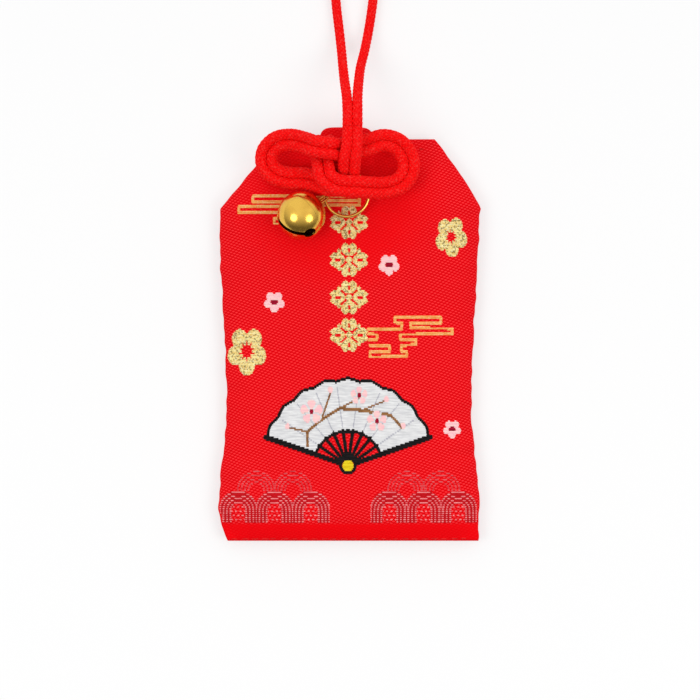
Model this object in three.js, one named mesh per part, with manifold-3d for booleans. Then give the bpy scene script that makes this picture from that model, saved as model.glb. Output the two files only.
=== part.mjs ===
// Omamori charm: a brocade amulet pouch lying on its back, tied with an ornamental cord knot that holds
// a ring and a small brass bell. Millimetres. X points right, Y points up the pouch towards the hanging
// loop and Z points out of the front. The origin lies under the middle of the pouch.
import * as THREE from 'three';
import { mergeVertices } from 'three/addons/utils/BufferGeometryUtils.js';
import Module from 'manifold-3d';

const wasm = await Module();
wasm.setup();

// Clearance between pieces that touch
const GAP = 0.3;

// Pouch outline, with rises measured up from the bottom fold
const POUCH_LENGTH = 80.4;
const HUMP_HEIGHT = 2.4;
const HUMP_WIDTH = 10.8;
const HUMP_SQUARENESS = 6;
const HUMP_ROOT = 6;
const BASE_WIDTH = 52.2;
const BASE_CORNER_RISE = 4.2;
const BASE_CORNER_CUT = 1.3;
const WAIST_WIDTH = 49;
const WAIST_RISE = 27;
const SHOULDER_WIDTH = 52;
const SHOULDER_RISE = 66.4;
const HEM_WIDTH = 31;
const SHOULDER_CURVE = 1.12;
const HEM_LEAN = 1.6;
const LEAN_RISE = 60;

// Pouch thickness
const POUCH_THICKNESS = 5;
const PLY = 0.55;
const BACK_CROWN = 1.4;
const CROWN_POWER = 2.4;
const SIDE_FALL = 8;
const BOTTOM_FALL = 7;
const HEM_FALL = 14;

// Mesh density of the pouch panels
const COARSE_ROWS = 15;
const FINE_ROWS = 13;
const FINE_FROM = 55;
const COLUMNS = 26;
const EDGE_CROWDING = 0.3;

// Pieces inside the pouch
const CARD_WIDTH = 36;
const CARD_LENGTH = 52;
const CARD_THICKNESS = 0.5;
const CARD_CORNER = 3;
const TABLET_WIDTH = 26;
const TABLET_LENGTH = 44;
const TABLET_THICKNESS = 0.8;
const TABLET_PEAK = 4;
const PAPER = 0.2;
const PAPER_LAP = 6;
const WRAPPER_LENGTH = 48;
const CONTENTS_RISE = 7;

// Cord and knot
const CORD_DIAMETER = 1.8;
const CORD_SPACING = 0.5;
const CORD_SIDES = 8;
const KNOT_STEP = 1.35;
const ARC_DIVISIONS = 2000;
const KNOT_X = -2.4;
const KNOT_DROP = 7.2;
const KNOT_RISE = 6.75;
const NECK_PINCH_FRONT = 0.6;
const NECK_PINCH_BACK = 2.7;
const NECK_SPREAD_X = 4.5;
const NECK_SPREAD_Y = 3.2;
const FLOOR_CLEARANCE = 0.05;
const BIGHT_LEG = 1.2;
const BIGHT_STEPS = 6;
const GAP_SAMPLING = 0.4;
const GAP_NEIGHBOURS = 2.8;

// Ring and bell
const RING_RADIUS = 4.4;
const RING_WIRE = 0.66;
const RING_DROP = 1.6;
const RING_RISE = 1.4;
const RING_STEPS = 40;
const WIRE_SIDES = 8;
const BELL_DIAMETER = 9.6;
const BELL_WALL = 0.4;
const BELL_ACROSS = -8.95;
const BELL_DROP = 4.35;
const BELL_SEGMENTS = 28;
const BELL_ARC_STEPS = 9;
const EYE_ANGLE = 190;
const EYE_WIRE = 0.66;
const EYE_FOOT = 0.8;
const EYE_FOOT_SPLAY = 0.25;
const EYE_BEND = 0.35;
const EYE_PLAY = 0.15;
const EYE_HANG = 0.2;
const EYE_STEPS = 32;
const EYE_SLOT_DEPTH = 1;
const SLOT_WIDTH = 0.9;
const SLOT_HALF_ANGLE = 64;
const SLOT_HOLE = 2.3;
const SLOT_DEPTH = 2;
const HOLE_SIDES = 16;
const SLOT_FACING = new THREE.Vector3(0.18, 0.67, 0.72);
const PELLET_DIAMETER = 2.8;

// Route of the doubled cord through the knot, from the hanging strands to the neck: across, up, out and
// the direction in degrees in which the outer of the two strands lies. Every turn runs clockwise.
const KNOT_ROUTE = [
  [3.1, 6.8, 1.0, 0],
  [3.1, 4.6, 1.2, 0],
  [3.1, 2.4, 1.45, 0],
  [3.1, 0.4, 1.3, 0],
  [3.1, -1.6, -0.1, 0],
  [2.7, -3.2, -1.25, -25],
  [1.2, -4.6, -1.3, -65],
  [-1.2, -4.8, -1.35, -92],
  [-3.6, -4.1, -2.6, -104],
  [-6.4, -3.3, -4.1, -100],
  [-9.4, -3.2, -4.6, -93],
  [-12.2, -2.4, -4.6, -125],
  [-13.9, -0.5, -4.5, -165],
  [-13.8, 2.0, -4.2, -200],
  [-11.9, 3.9, -3.4, -240],
  [-9.2, 4.3, -2.2, -272],
  [-6.4, 3.6, -0.1, -285],
  [-4.2, 2.8, 1.61, -285],
  [-1.0, 2.4, 1.37, -275],
  [-0.07, 2.3, 0.08, -270],
  [2.26, 2.4, -1.64, -268],
  [4.2, 2.6, -1.42, -262],
  [6.6, 3.5, -1.9, -255],
  [9.4, 4.25, -2.6, -268],
  [12.2, 3.4, -3.4, -310],
  [14.0, 1.0, -4.0, -345],
  [14.2, -1.8, -4.1, -368],
  [12.6, -4.2, -3.3, -405],
  [9.8, -5.2, -1.8, -440],
  [6.8, -5.3, 0.0, -452],
  [4.2, -5.15, 1.3, -452],
  [1.5, -5.0, 1.3, -452],
  [-0.32, -4.6, 1.3, -468],
  [-2.11, -3.28, 1.3, -508],
  [-2.65, -1.2, 0.14, -535],
  [-2.87, 0.59, -1.47, -540],
  [-2.71, 2.4, -1.68, -540],
  [-2.55, 4.0, -2.0, -540],
  [-2.5, 4.1, -3.2, -540],
  [-2.1, 2.4, -3.85, -525],
  [-1.2, 0.0, -3.85, -507],
  [0.5, -2.6, -3.85, -508],
  [1.6, -4.3, -4.7, -515],
  [1.9, -4.8, -6.2, -530],
];

// Route of the free hanging loop between the two strands: across from the middle of the strands, along
// from the top of the knot and up from where the cord lies on the floor
const LOOP_ROUTE = [
  [-1.15, 3.0, 11.35],
  [-1.2, 6.0, 9.65],
  [-1.6, 9.0, 7.05],
  [-2.1, 12.2, 4.25],
  [-2.4, 15.6, 1.95],
  [-2.6, 19.4, 0.45],
  [-2.8, 23.5, 0],
  [-3.2, 27.6, 0],
  [-4.2, 33.5, 0],
  [-5.2, 39.5, 0],
  [-5.6, 45.5, 0],
  [-4.4, 51.0, 0],
  [-1.3, 54.4, 0],
  [2.5, 54.4, 0],
  [5.6, 51.0, 0],
  [6.9, 45.5, 0],
  [6.6, 39.5, 0],
  [5.7, 33.5, 0],
  [4.7, 27.6, 0],
  [3.8, 23.5, 0],
  [3.0, 19.4, 0.45],
  [2.3, 15.6, 1.95],
  [1.7, 12.2, 4.25],
  [1.3, 9.0, 7.05],
  [1.15, 6.0, 9.65],
  [1.15, 3.0, 11.35],
];
const LOOP_STEPS = 72;

// Values worked out from the sizes above
const BOTTOM_Y = -(POUCH_LENGTH + HUMP_HEIGHT) / 2;
const FRONT_CROWN = POUCH_THICKNESS - BACK_CROWN - 2 * PLY - GAP;
const SEAM_Z = BACK_CROWN + PLY + GAP / 2;
const CORD_RADIUS = CORD_DIAMETER / 2;
const CONTENTS_Y = BOTTOM_Y + CONTENTS_RISE;
const WRAPPER_Z = PLY + GAP;
const TABLET_Z = WRAPPER_Z + 2 * PAPER + 2 * GAP;
const WRAPPER_HEIGHT = TABLET_Z + TABLET_THICKNESS + GAP + PAPER - WRAPPER_Z;
const CARD_Z = WRAPPER_Z + WRAPPER_HEIGHT + GAP;
const WRAPPER_WIDTH = TABLET_WIDTH + 2 * (PAPER + GAP);
const CORD_PITCH = CORD_DIAMETER + CORD_SPACING;
const HEM_Y = BOTTOM_Y + POUCH_LENGTH + HUMP_HEIGHT;
const KNOT_CENTRE = new THREE.Vector3(KNOT_X, HEM_Y - KNOT_DROP, POUCH_THICKNESS + KNOT_RISE);
const KNOT_TOP = KNOT_ROUTE.at(0);
const KNOT_END = KNOT_ROUTE.at(-1);
const NECK_X = KNOT_X + KNOT_END[0];
const NECK_Y = KNOT_CENTRE.y + KNOT_END[1];
const RING_CENTRE = new THREE.Vector3(NECK_X, NECK_Y - RING_DROP, POUCH_THICKNESS + RING_RISE);
const BELL_RADIUS = BELL_DIAMETER / 2;
const EYE_HALF_WIDTH = (RING_WIRE + EYE_WIRE) / 2 + GAP + EYE_PLAY;
const BELL_CENTRE = new THREE.Vector3(
  RING_CENTRE.x + BELL_ACROSS,
  RING_CENTRE.y - BELL_DROP,
  POUCH_THICKNESS + GAP + BELL_RADIUS,
);

const clamp01 = (value) => Math.min(1, Math.max(0, value));
const smooth = (value) => {
  const t = clamp01(value);
  return t * t * (3 - 2 * t);
};
const mix = (a, b, t) => a + (b - a) * t;
const radians = THREE.MathUtils.degToRad;

function finish(color, roughness, metalness) {
  return new THREE.MeshStandardMaterial({ color, roughness, metalness });
}

function named(name, geometry, material) {
  const mesh = new THREE.Mesh(geometry, material);
  mesh.name = name;
  return mesh;
}

// Joins and cuts
function toSolid(geometry) {
  const bare = geometry.clone();
  bare.deleteAttribute('normal');
  bare.deleteAttribute('uv');
  const merged = mergeVertices(bare, 1e-4);
  const mesh = new wasm.Mesh({
    numProp: 3,
    vertProperties: new Float32Array(merged.attributes.position.array),
    triVerts: new Uint32Array(merged.index.array),
  });
  return new wasm.Manifold(mesh);
}

function toGeometry(solid) {
  const mesh = solid.getMesh();
  const geometry = new THREE.BufferGeometry();
  geometry.setAttribute('position', new THREE.BufferAttribute(mesh.vertProperties, 3));
  geometry.setIndex(new THREE.BufferAttribute(mesh.triVerts, 1));
  geometry.computeVertexNormals();
  return geometry;
}

// Tubes
function roundSection(radius, sides) {
  const section = new THREE.Shape();
  for (let i = 0; i < sides; i += 1) {
    const angle = (2 * Math.PI * i) / sides;
    const corner = [radius * Math.cos(angle), radius * Math.sin(angle)];
    if (i === 0) section.moveTo(...corner);
    else section.lineTo(...corner);
  }
  section.closePath();
  return section;
}

function tube(curve, diameter, sides, steps) {
  return new THREE.ExtrudeGeometry(roundSection(diameter / 2, sides), { steps, extrudePath: curve });
}

// Least clear distance of a cord to itself, on points spaced along it
function leastGap(curve, diameter) {
  const skip = Math.ceil((GAP_NEIGHBOURS * diameter) / GAP_SAMPLING);
  const points = curve.getSpacedPoints(Math.round(curve.getLength() / GAP_SAMPLING));
  let least = Infinity;
  for (let i = 0; i < points.length; i += 1) {
    for (let j = i + skip; j < points.length; j += 1) {
      least = Math.min(least, points[i].distanceTo(points[j]));
    }
  }
  return least - diameter;
}

// Pouch panels
function halfWidth(rise) {
  const base = BASE_WIDTH / 2;
  const waist = WAIST_WIDTH / 2;
  const shoulder = SHOULDER_WIDTH / 2;
  if (rise < BASE_CORNER_RISE) {
    return base - BASE_CORNER_CUT * (1 - rise / BASE_CORNER_RISE) ** 2;
  }
  if (rise < WAIST_RISE) {
    return mix(base, waist, smooth((rise - BASE_CORNER_RISE) / (WAIST_RISE - BASE_CORNER_RISE)));
  }
  if (rise < SHOULDER_RISE) {
    return mix(waist, shoulder, smooth((rise - WAIST_RISE) / (SHOULDER_RISE - WAIST_RISE)));
  }
  const slope = (rise - SHOULDER_RISE) / (POUCH_LENGTH - SHOULDER_RISE);
  return mix(shoulder, HEM_WIDTH / 2, slope ** SHOULDER_CURVE);
}

// The hem stands up behind the cord
function humpAt(x) {
  const across = clamp01(Math.abs(x - NECK_X) / (HUMP_WIDTH / 2));
  return HUMP_HEIGHT * Math.sqrt(1 - across ** HUMP_SQUARENESS);
}

// The tied knot draws the hem to the right
function leanAt(rise) {
  return HEM_LEAN * smooth((rise - LEAN_RISE) / (POUCH_LENGTH - LEAN_RISE));
}

function fall(distance, reach) {
  return 1 - (1 - clamp01(distance / reach)) ** CROWN_POWER;
}

function swell(x, rise) {
  const side = halfWidth(Math.min(rise, POUCH_LENGTH)) - Math.abs(x - leanAt(rise));
  const hem = POUCH_LENGTH + humpAt(x) - rise;
  return fall(side, SIDE_FALL) * fall(rise, BOTTOM_FALL) * fall(hem, HEM_FALL);
}

function neckPinch(x, rise) {
  const across = (x - NECK_X) / NECK_SPREAD_X;
  const along = (rise + BOTTOM_Y - NECK_Y) / NECK_SPREAD_Y;
  return Math.exp(-(across * across + along * along) / 2);
}

function frontZ(x, rise) {
  return SEAM_Z + GAP / 2 + PLY + FRONT_CROWN * swell(x, rise) - NECK_PINCH_FRONT * neckPinch(x, rise);
}

function backZ(x, rise) {
  return SEAM_Z - GAP / 2 - PLY - BACK_CROWN * swell(x, rise) + NECK_PINCH_BACK * neckPinch(x, rise);
}

function panelRises() {
  const rises = [];
  for (let i = 0; i < COARSE_ROWS; i += 1) rises.push((FINE_FROM * i) / COARSE_ROWS);
  for (let i = 0; i <= FINE_ROWS; i += 1) rises.push(mix(FINE_FROM, POUCH_LENGTH, i / FINE_ROWS));
  return rises;
}

// A closed sheet over the pouch outline, between two height functions
function panelSheet(lowerZ, upperZ) {
  const rises = panelRises();
  const rows = rises.length;
  const columns = COLUMNS + 1;
  const lower = [];
  const upper = [];
  for (const row of rises) {
    const nearHem = smooth((row - POUCH_LENGTH + HUMP_ROOT) / HUMP_ROOT);
    for (let j = 0; j < columns; j += 1) {
      const k = (2 * j) / COLUMNS - 1;
      const x = k * (1 + EDGE_CROWDING * (1 - k * k)) * halfWidth(row) + leanAt(row);
      const rise = row + humpAt(x) * nearHem;
      lower.push(x, rise + BOTTOM_Y, lowerZ(x, rise));
      upper.push(x, rise + BOTTOM_Y, upperZ(x, rise));
    }
  }
  const offset = rows * columns;
  const triangles = [];
  const quad = (a, b, c, d) => triangles.push(a, b, c, a, c, d);
  for (let i = 0; i < rows - 1; i += 1) {
    for (let j = 0; j < COLUMNS; j += 1) {
      const a = i * columns + j;
      const b = a + 1;
      const c = b + columns;
      const d = a + columns;
      quad(offset + a, offset + b, offset + c, offset + d);
      quad(a, d, c, b);
    }
  }
  const rim = [];
  for (let j = 0; j < COLUMNS; j += 1) rim.push(j);
  for (let i = 0; i < rows - 1; i += 1) rim.push(i * columns + COLUMNS);
  for (let j = COLUMNS; j > 0; j -= 1) rim.push((rows - 1) * columns + j);
  for (let i = rows - 1; i > 0; i -= 1) rim.push(i * columns);
  rim.forEach((a, index) => {
    const b = rim[(index + 1) % rim.length];
    quad(a, b, offset + b, offset + a);
  });
  const geometry = new THREE.BufferGeometry();
  geometry.setAttribute('position', new THREE.Float32BufferAttribute([...lower, ...upper], 3));
  geometry.setIndex(triangles);
  return geometry;
}

function eyeletCutter() {
  const reach = CORD_RADIUS + GAP;
  const hole = new THREE.CylinderGeometry(reach, reach, 4 * POUCH_THICKNESS, HOLE_SIDES);
  hole.rotateX(Math.PI / 2);
  const left = hole.clone().translate(NECK_X - CORD_PITCH / 2, NECK_Y, 0);
  const right = hole.clone().translate(NECK_X + CORD_PITCH / 2, NECK_Y, 0);
  return toSolid(left).add(toSolid(right));
}

function frontPanel() {
  const sheet = toSolid(panelSheet((x, rise) => frontZ(x, rise) - PLY, frontZ));
  return named('front_panel', toGeometry(sheet.subtract(eyeletCutter())), finish(0xd6101a, 0.62, 0));
}

function backPanel() {
  const sheet = toSolid(panelSheet(backZ, (x, rise) => backZ(x, rise) + PLY));
  return named('back_panel', toGeometry(sheet.subtract(eyeletCutter())), finish(0xd6101a, 0.62, 0));
}

// Pieces inside the pouch
function stiffenerCard() {
  const w = CARD_WIDTH / 2;
  const r = CARD_CORNER;
  const outline = new THREE.Shape();
  outline.moveTo(-w + r, 0);
  outline.absarc(w - r, r, r, -Math.PI / 2, 0);
  outline.absarc(w - r, CARD_LENGTH - r, r, 0, Math.PI / 2);
  outline.absarc(-w + r, CARD_LENGTH - r, r, Math.PI / 2, Math.PI);
  outline.absarc(-w + r, r, r, Math.PI, 1.5 * Math.PI);
  const geometry = new THREE.ExtrudeGeometry(outline, {
    depth: CARD_THICKNESS, bevelEnabled: false, curveSegments: 4,
  });
  const card = named('stiffener_card', geometry, finish(0xe9e4d8, 0.9, 0));
  card.position.set(0, CONTENTS_Y, CARD_Z);
  return card;
}

function paperWrapper() {
  const w = WRAPPER_WIDTH / 2;
  const inner = w - PAPER;
  const top = WRAPPER_HEIGHT;
  const lap = PAPER + GAP;
  const outline = new THREE.Shape();
  outline.moveTo(-PAPER_LAP, 0);
  outline.lineTo(w, 0);
  outline.lineTo(w, top);
  outline.lineTo(-w, top);
  outline.lineTo(-w, lap);
  outline.lineTo(PAPER_LAP, lap);
  outline.lineTo(PAPER_LAP, lap + PAPER);
  outline.lineTo(-inner, lap + PAPER);
  outline.lineTo(-inner, top - PAPER);
  outline.lineTo(inner, top - PAPER);
  outline.lineTo(inner, PAPER);
  outline.lineTo(-PAPER_LAP, PAPER);
  outline.closePath();
  const geometry = new THREE.ExtrudeGeometry(outline, { depth: WRAPPER_LENGTH, bevelEnabled: false });
  geometry.rotateX(Math.PI / 2);
  const wrapper = named('paper_wrapper', geometry, finish(0xf6f3ea, 0.85, 0));
  wrapper.position.set(0, CONTENTS_Y + (CARD_LENGTH + WRAPPER_LENGTH) / 2, WRAPPER_Z);
  return wrapper;
}

function amuletTablet() {
  const w = TABLET_WIDTH / 2;
  const outline = new THREE.Shape();
  outline.moveTo(-w, 0);
  outline.lineTo(w, 0);
  outline.lineTo(w, TABLET_LENGTH - TABLET_PEAK);
  outline.lineTo(0, TABLET_LENGTH);
  outline.lineTo(-w, TABLET_LENGTH - TABLET_PEAK);
  outline.closePath();
  const geometry = new THREE.ExtrudeGeometry(outline, { depth: TABLET_THICKNESS, bevelEnabled: false });
  const tablet = named('amulet_tablet', geometry, finish(0xd9b98a, 0.7, 0));
  tablet.position.set(0, CONTENTS_Y + (CARD_LENGTH - TABLET_LENGTH) / 2, TABLET_Z);
  return tablet;
}

// Cord
function knotStrand(side) {
  return KNOT_ROUTE.map(([u, v, w, facing]) => {
    const shift = (side * CORD_PITCH) / 2;
    return new THREE.Vector3(
      u + shift * Math.cos(radians(facing)),
      v + shift * Math.sin(radians(facing)),
      w,
    ).add(KNOT_CENTRE);
  });
}

// The bight that passes through the pouch and lies across its back
function neckBight() {
  const radius = CORD_PITCH / 2;
  const turnZ = FLOOR_CLEARANCE + CORD_RADIUS + radius;
  const points = [new THREE.Vector3(NECK_X - radius, NECK_Y, turnZ + BIGHT_LEG)];
  for (let i = 0; i <= BIGHT_STEPS; i += 1) {
    const angle = Math.PI * (1 + i / BIGHT_STEPS);
    points.push(new THREE.Vector3(
      NECK_X + radius * Math.cos(angle),
      NECK_Y,
      turnZ + radius * Math.sin(angle),
    ));
  }
  points.push(new THREE.Vector3(NECK_X + radius, NECK_Y, turnZ + BIGHT_LEG));
  return points;
}

function knotCord() {
  const route = [...knotStrand(1), ...neckBight(), ...knotStrand(-1).reverse()];
  const curve = new THREE.CatmullRomCurve3(route, false, 'centripetal');
  curve.arcLengthDivisions = ARC_DIVISIONS;
  const steps = Math.round(curve.getLength() / KNOT_STEP);
  console.log(`knot_cord: length ${curve.getLength().toFixed(1)} mm, least gap to itself `
    + `${leastGap(curve, CORD_DIAMETER).toFixed(2)} mm`);
  return named('knot_cord', tube(curve, CORD_DIAMETER, CORD_SIDES, steps), finish(0xe3131c, 0.7, 0));
}

function hangingLoop() {
  const start = new THREE.Vector3(KNOT_TOP[0], KNOT_TOP[1], KNOT_TOP[2]).add(KNOT_CENTRE);
  const lying = start.clone().setZ(FLOOR_CLEARANCE + CORD_RADIUS);
  const points = LOOP_ROUTE.map(([x, y, z]) => new THREE.Vector3(x, y, z).add(lying));
  points.unshift(new THREE.Vector3(-CORD_PITCH / 2, GAP, 0).add(start));
  points.push(new THREE.Vector3(CORD_PITCH / 2, GAP, 0).add(start));
  const curve = new THREE.CatmullRomCurve3(points, false, 'centripetal');
  console.log(`hanging_loop: length ${curve.getLength().toFixed(1)} mm`);
  const geometry = tube(curve, CORD_DIAMETER, CORD_SIDES, LOOP_STEPS);
  return named('hanging_loop', geometry, finish(0xe3131c, 0.7, 0));
}

// Ring and bell
function jumpRing() {
  const geometry = new THREE.TorusGeometry(RING_RADIUS, RING_WIRE / 2, WIRE_SIDES, RING_STEPS);
  const ring = named('jump_ring', geometry, finish(0xd8a43a, 0.25, 1));
  ring.position.copy(RING_CENTRE);
  return ring;
}

// Half a hollow sphere, as a profile from pole to equator and back
function cupGeometry() {
  const outer = BELL_RADIUS;
  const inner = BELL_RADIUS - BELL_WALL;
  const profile = [];
  const arc = (radius, from, to) => {
    for (let i = 0; i <= BELL_ARC_STEPS; i += 1) {
      const angle = mix(from, to, i / BELL_ARC_STEPS);
      profile.push(new THREE.Vector2(radius * Math.cos(angle), radius * Math.sin(angle)));
    }
  };
  arc(outer, Math.asin(GAP / 2 / outer), Math.PI / 2);
  arc(inner, Math.PI / 2, Math.asin(GAP / 2 / inner));
  profile.push(profile[0].clone());
  return new THREE.LatheGeometry(profile, BELL_SEGMENTS);
}

function ringPoint() {
  const angle = radians(EYE_ANGLE);
  const spoke = new THREE.Vector3(Math.cos(angle), Math.sin(angle), 0);
  return RING_CENTRE.clone().addScaledVector(spoke, RING_RADIUS);
}

const BELL_REACH = BELL_CENTRE.distanceTo(ringPoint());
const BELL_UP = ringPoint().sub(BELL_CENTRE).normalize();

// The bell's own frame has its eye along +Y and its slot in the XY plane
function bellGroup() {
  const slotNormal = SLOT_FACING.clone().addScaledVector(BELL_UP, -SLOT_FACING.dot(BELL_UP)).normalize();
  const slotAlong = new THREE.Vector3().crossVectors(BELL_UP, slotNormal);
  const group = new THREE.Group();
  group.setRotationFromMatrix(new THREE.Matrix4().makeBasis(slotAlong, BELL_UP, slotNormal));
  group.position.copy(BELL_CENTRE);
  return group;
}

// Turn of the eye about the bell's axis that lays its loop square to the ring wire
function eyeTurn(group) {
  const angle = radians(EYE_ANGLE);
  const wire = new THREE.Vector3(-Math.sin(angle), Math.cos(angle), 0);
  const local = wire.applyQuaternion(group.quaternion.clone().invert());
  return Math.atan2(local.x, local.z);
}

function eyeGeometry() {
  const legs = EYE_HALF_WIDTH;
  const crown = BELL_REACH - EYE_HANG;
  const inside = BELL_RADIUS - BELL_WALL - GAP - EYE_WIRE / 2;
  const half = [
    [legs + EYE_FOOT, inside - EYE_FOOT_SPLAY],
    [legs + EYE_FOOT / 2, inside],
    [legs, inside + EYE_BEND],
    [legs, BELL_RADIUS + EYE_HANG],
    [legs, crown],
    [legs * Math.SQRT1_2, crown + legs * Math.SQRT1_2],
  ];
  const points = half.map(([x, y]) => new THREE.Vector3(x, y, 0));
  points.push(new THREE.Vector3(0, crown + legs, 0));
  for (const [x, y] of half.reverse()) points.push(new THREE.Vector3(-x, y, 0));
  const curve = new THREE.CatmullRomCurve3(points, false, 'centripetal');
  return tube(curve, EYE_WIRE, WIRE_SIDES, EYE_STEPS);
}

function eyeSlot(turn) {
  const reach = EYE_WIRE / 2 + GAP;
  const slot = new THREE.BoxGeometry(2 * (EYE_HALF_WIDTH + reach), 2 * EYE_SLOT_DEPTH, 2 * reach);
  slot.translate(0, BELL_RADIUS - BELL_WALL / 2, 0);
  slot.rotateY(turn);
  return toSolid(slot);
}

function slotCutter() {
  const start = BELL_RADIUS * Math.cos(radians(SLOT_HALF_ANGLE));
  const depth = BELL_RADIUS;
  const slot = new THREE.BoxGeometry(3 * BELL_RADIUS, depth, SLOT_WIDTH);
  slot.translate(0, -start - depth / 2, 0);
  let cutter = toSolid(slot);
  for (const side of [-1, 1]) {
    const hole = new THREE.CylinderGeometry(SLOT_HOLE / 2, SLOT_HOLE / 2, SLOT_DEPTH, HOLE_SIDES);
    hole.translate(0, -BELL_RADIUS, 0);
    hole.rotateZ(side * radians(SLOT_HALF_ANGLE));
    cutter = cutter.add(toSolid(hole));
  }
  return cutter;
}

function bell() {
  const group = bellGroup();
  const brass = [0xd9a93c, 0.22, 1];
  const turn = eyeTurn(group);
  const upper = toSolid(cupGeometry()).subtract(eyeSlot(turn));
  const lower = toSolid(cupGeometry().rotateX(Math.PI)).subtract(slotCutter());
  group.add(named('bell_upper_cup', toGeometry(upper), finish(...brass)));
  group.add(named('bell_lower_cup', toGeometry(lower), finish(...brass)));
  group.add(named('bell_eye', eyeGeometry().rotateY(turn), finish(...brass)));
  return group;
}

function bellPellet() {
  const geometry = new THREE.IcosahedronGeometry(PELLET_DIAMETER / 2, 2);
  const pellet = named('bell_pellet', geometry, finish(0x9a9c9e, 0.35, 1));
  const drop = BELL_RADIUS - BELL_WALL - GAP - PELLET_DIAMETER / 2;
  pellet.position.copy(BELL_CENTRE).add(new THREE.Vector3(0, 0, -drop));
  return pellet;
}

const charm = new THREE.Group();
charm.add(frontPanel(), backPanel());
charm.add(stiffenerCard(), paperWrapper(), amuletTablet());
charm.add(knotCord(), hangingLoop());
charm.add(jumpRing(), bell(), bellPellet());

export default charm;
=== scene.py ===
"""Looks of an omamori charm: a tied brocade pouch with its knot, ring and bell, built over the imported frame.

Sizes are in millimetres in the fields and become metres when a mesh is made.
"""

import logging
import math
from collections.abc import Callable, Sequence
from dataclasses import dataclass, field
from enum import Enum

import bpy
import numpy as np
from mathutils import Matrix, Vector


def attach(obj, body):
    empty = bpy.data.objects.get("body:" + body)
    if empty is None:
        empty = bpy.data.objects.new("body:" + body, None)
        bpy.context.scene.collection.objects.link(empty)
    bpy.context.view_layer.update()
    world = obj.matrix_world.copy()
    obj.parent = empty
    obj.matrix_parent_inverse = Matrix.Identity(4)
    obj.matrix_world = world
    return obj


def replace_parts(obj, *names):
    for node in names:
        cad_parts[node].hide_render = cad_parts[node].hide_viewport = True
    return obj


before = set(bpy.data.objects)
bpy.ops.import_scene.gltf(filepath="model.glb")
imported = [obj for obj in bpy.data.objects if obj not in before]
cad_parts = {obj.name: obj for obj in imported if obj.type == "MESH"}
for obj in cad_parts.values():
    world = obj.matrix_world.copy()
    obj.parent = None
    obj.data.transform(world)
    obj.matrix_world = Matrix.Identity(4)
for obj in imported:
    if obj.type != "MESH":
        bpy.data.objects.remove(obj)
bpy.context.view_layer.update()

LOG = logging.getLogger("charm")
MM = 0.001
Array = np.ndarray
Point = tuple[float, float]
Triple = tuple[float, float, float]
Four = tuple[float, float, float, float]
Region = Callable[[Array, Array], Array]
Piece = bpy.types.Object
Material = bpy.types.Material
Tree = bpy.types.NodeTree
Node = bpy.types.Node
Socket = bpy.types.NodeSocket

# Where the cord passes through the pouch, and where the plain band along its bottom fold ends
NECK: Point = (-0.5, 29.4)
PLAIN_TOP = -37.9

# The range that most of a noise texture's values lie in
NOISE_SPAN: Point = (0.3, 0.7)

# Steps of a curve between two of the points that it runs through
SPAN_STEPS = 24


class Body(Enum):
    """The bodies that pieces ride on."""

    POUCH = "pouch"
    RING = "ring"
    BELL = "bell"


class Slot(Enum):
    """The record's material slot names, which no piece here is given."""

    BROCADE = "brocade"
    CORD = "cord"
    BRASS = "brass"


class Face(Enum):
    """The two panels of the pouch."""

    FRONT = "front"
    BACK = "back"


class WaveLayer(Enum):
    """The layers of the woven waves."""

    NEAR = "near"
    FAR = "far"
    GROUND = "ground"


def srgb(*levels: int) -> Triple:
    """Returns a display colour of three 8-bit levels as linear light."""
    shares = [level / 255 for level in levels]
    return tuple(share / 12.92 if share <= 0.04045 else ((share + 0.055) / 1.055) ** 2.4 for share in shares)


# Node helpers


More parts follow.
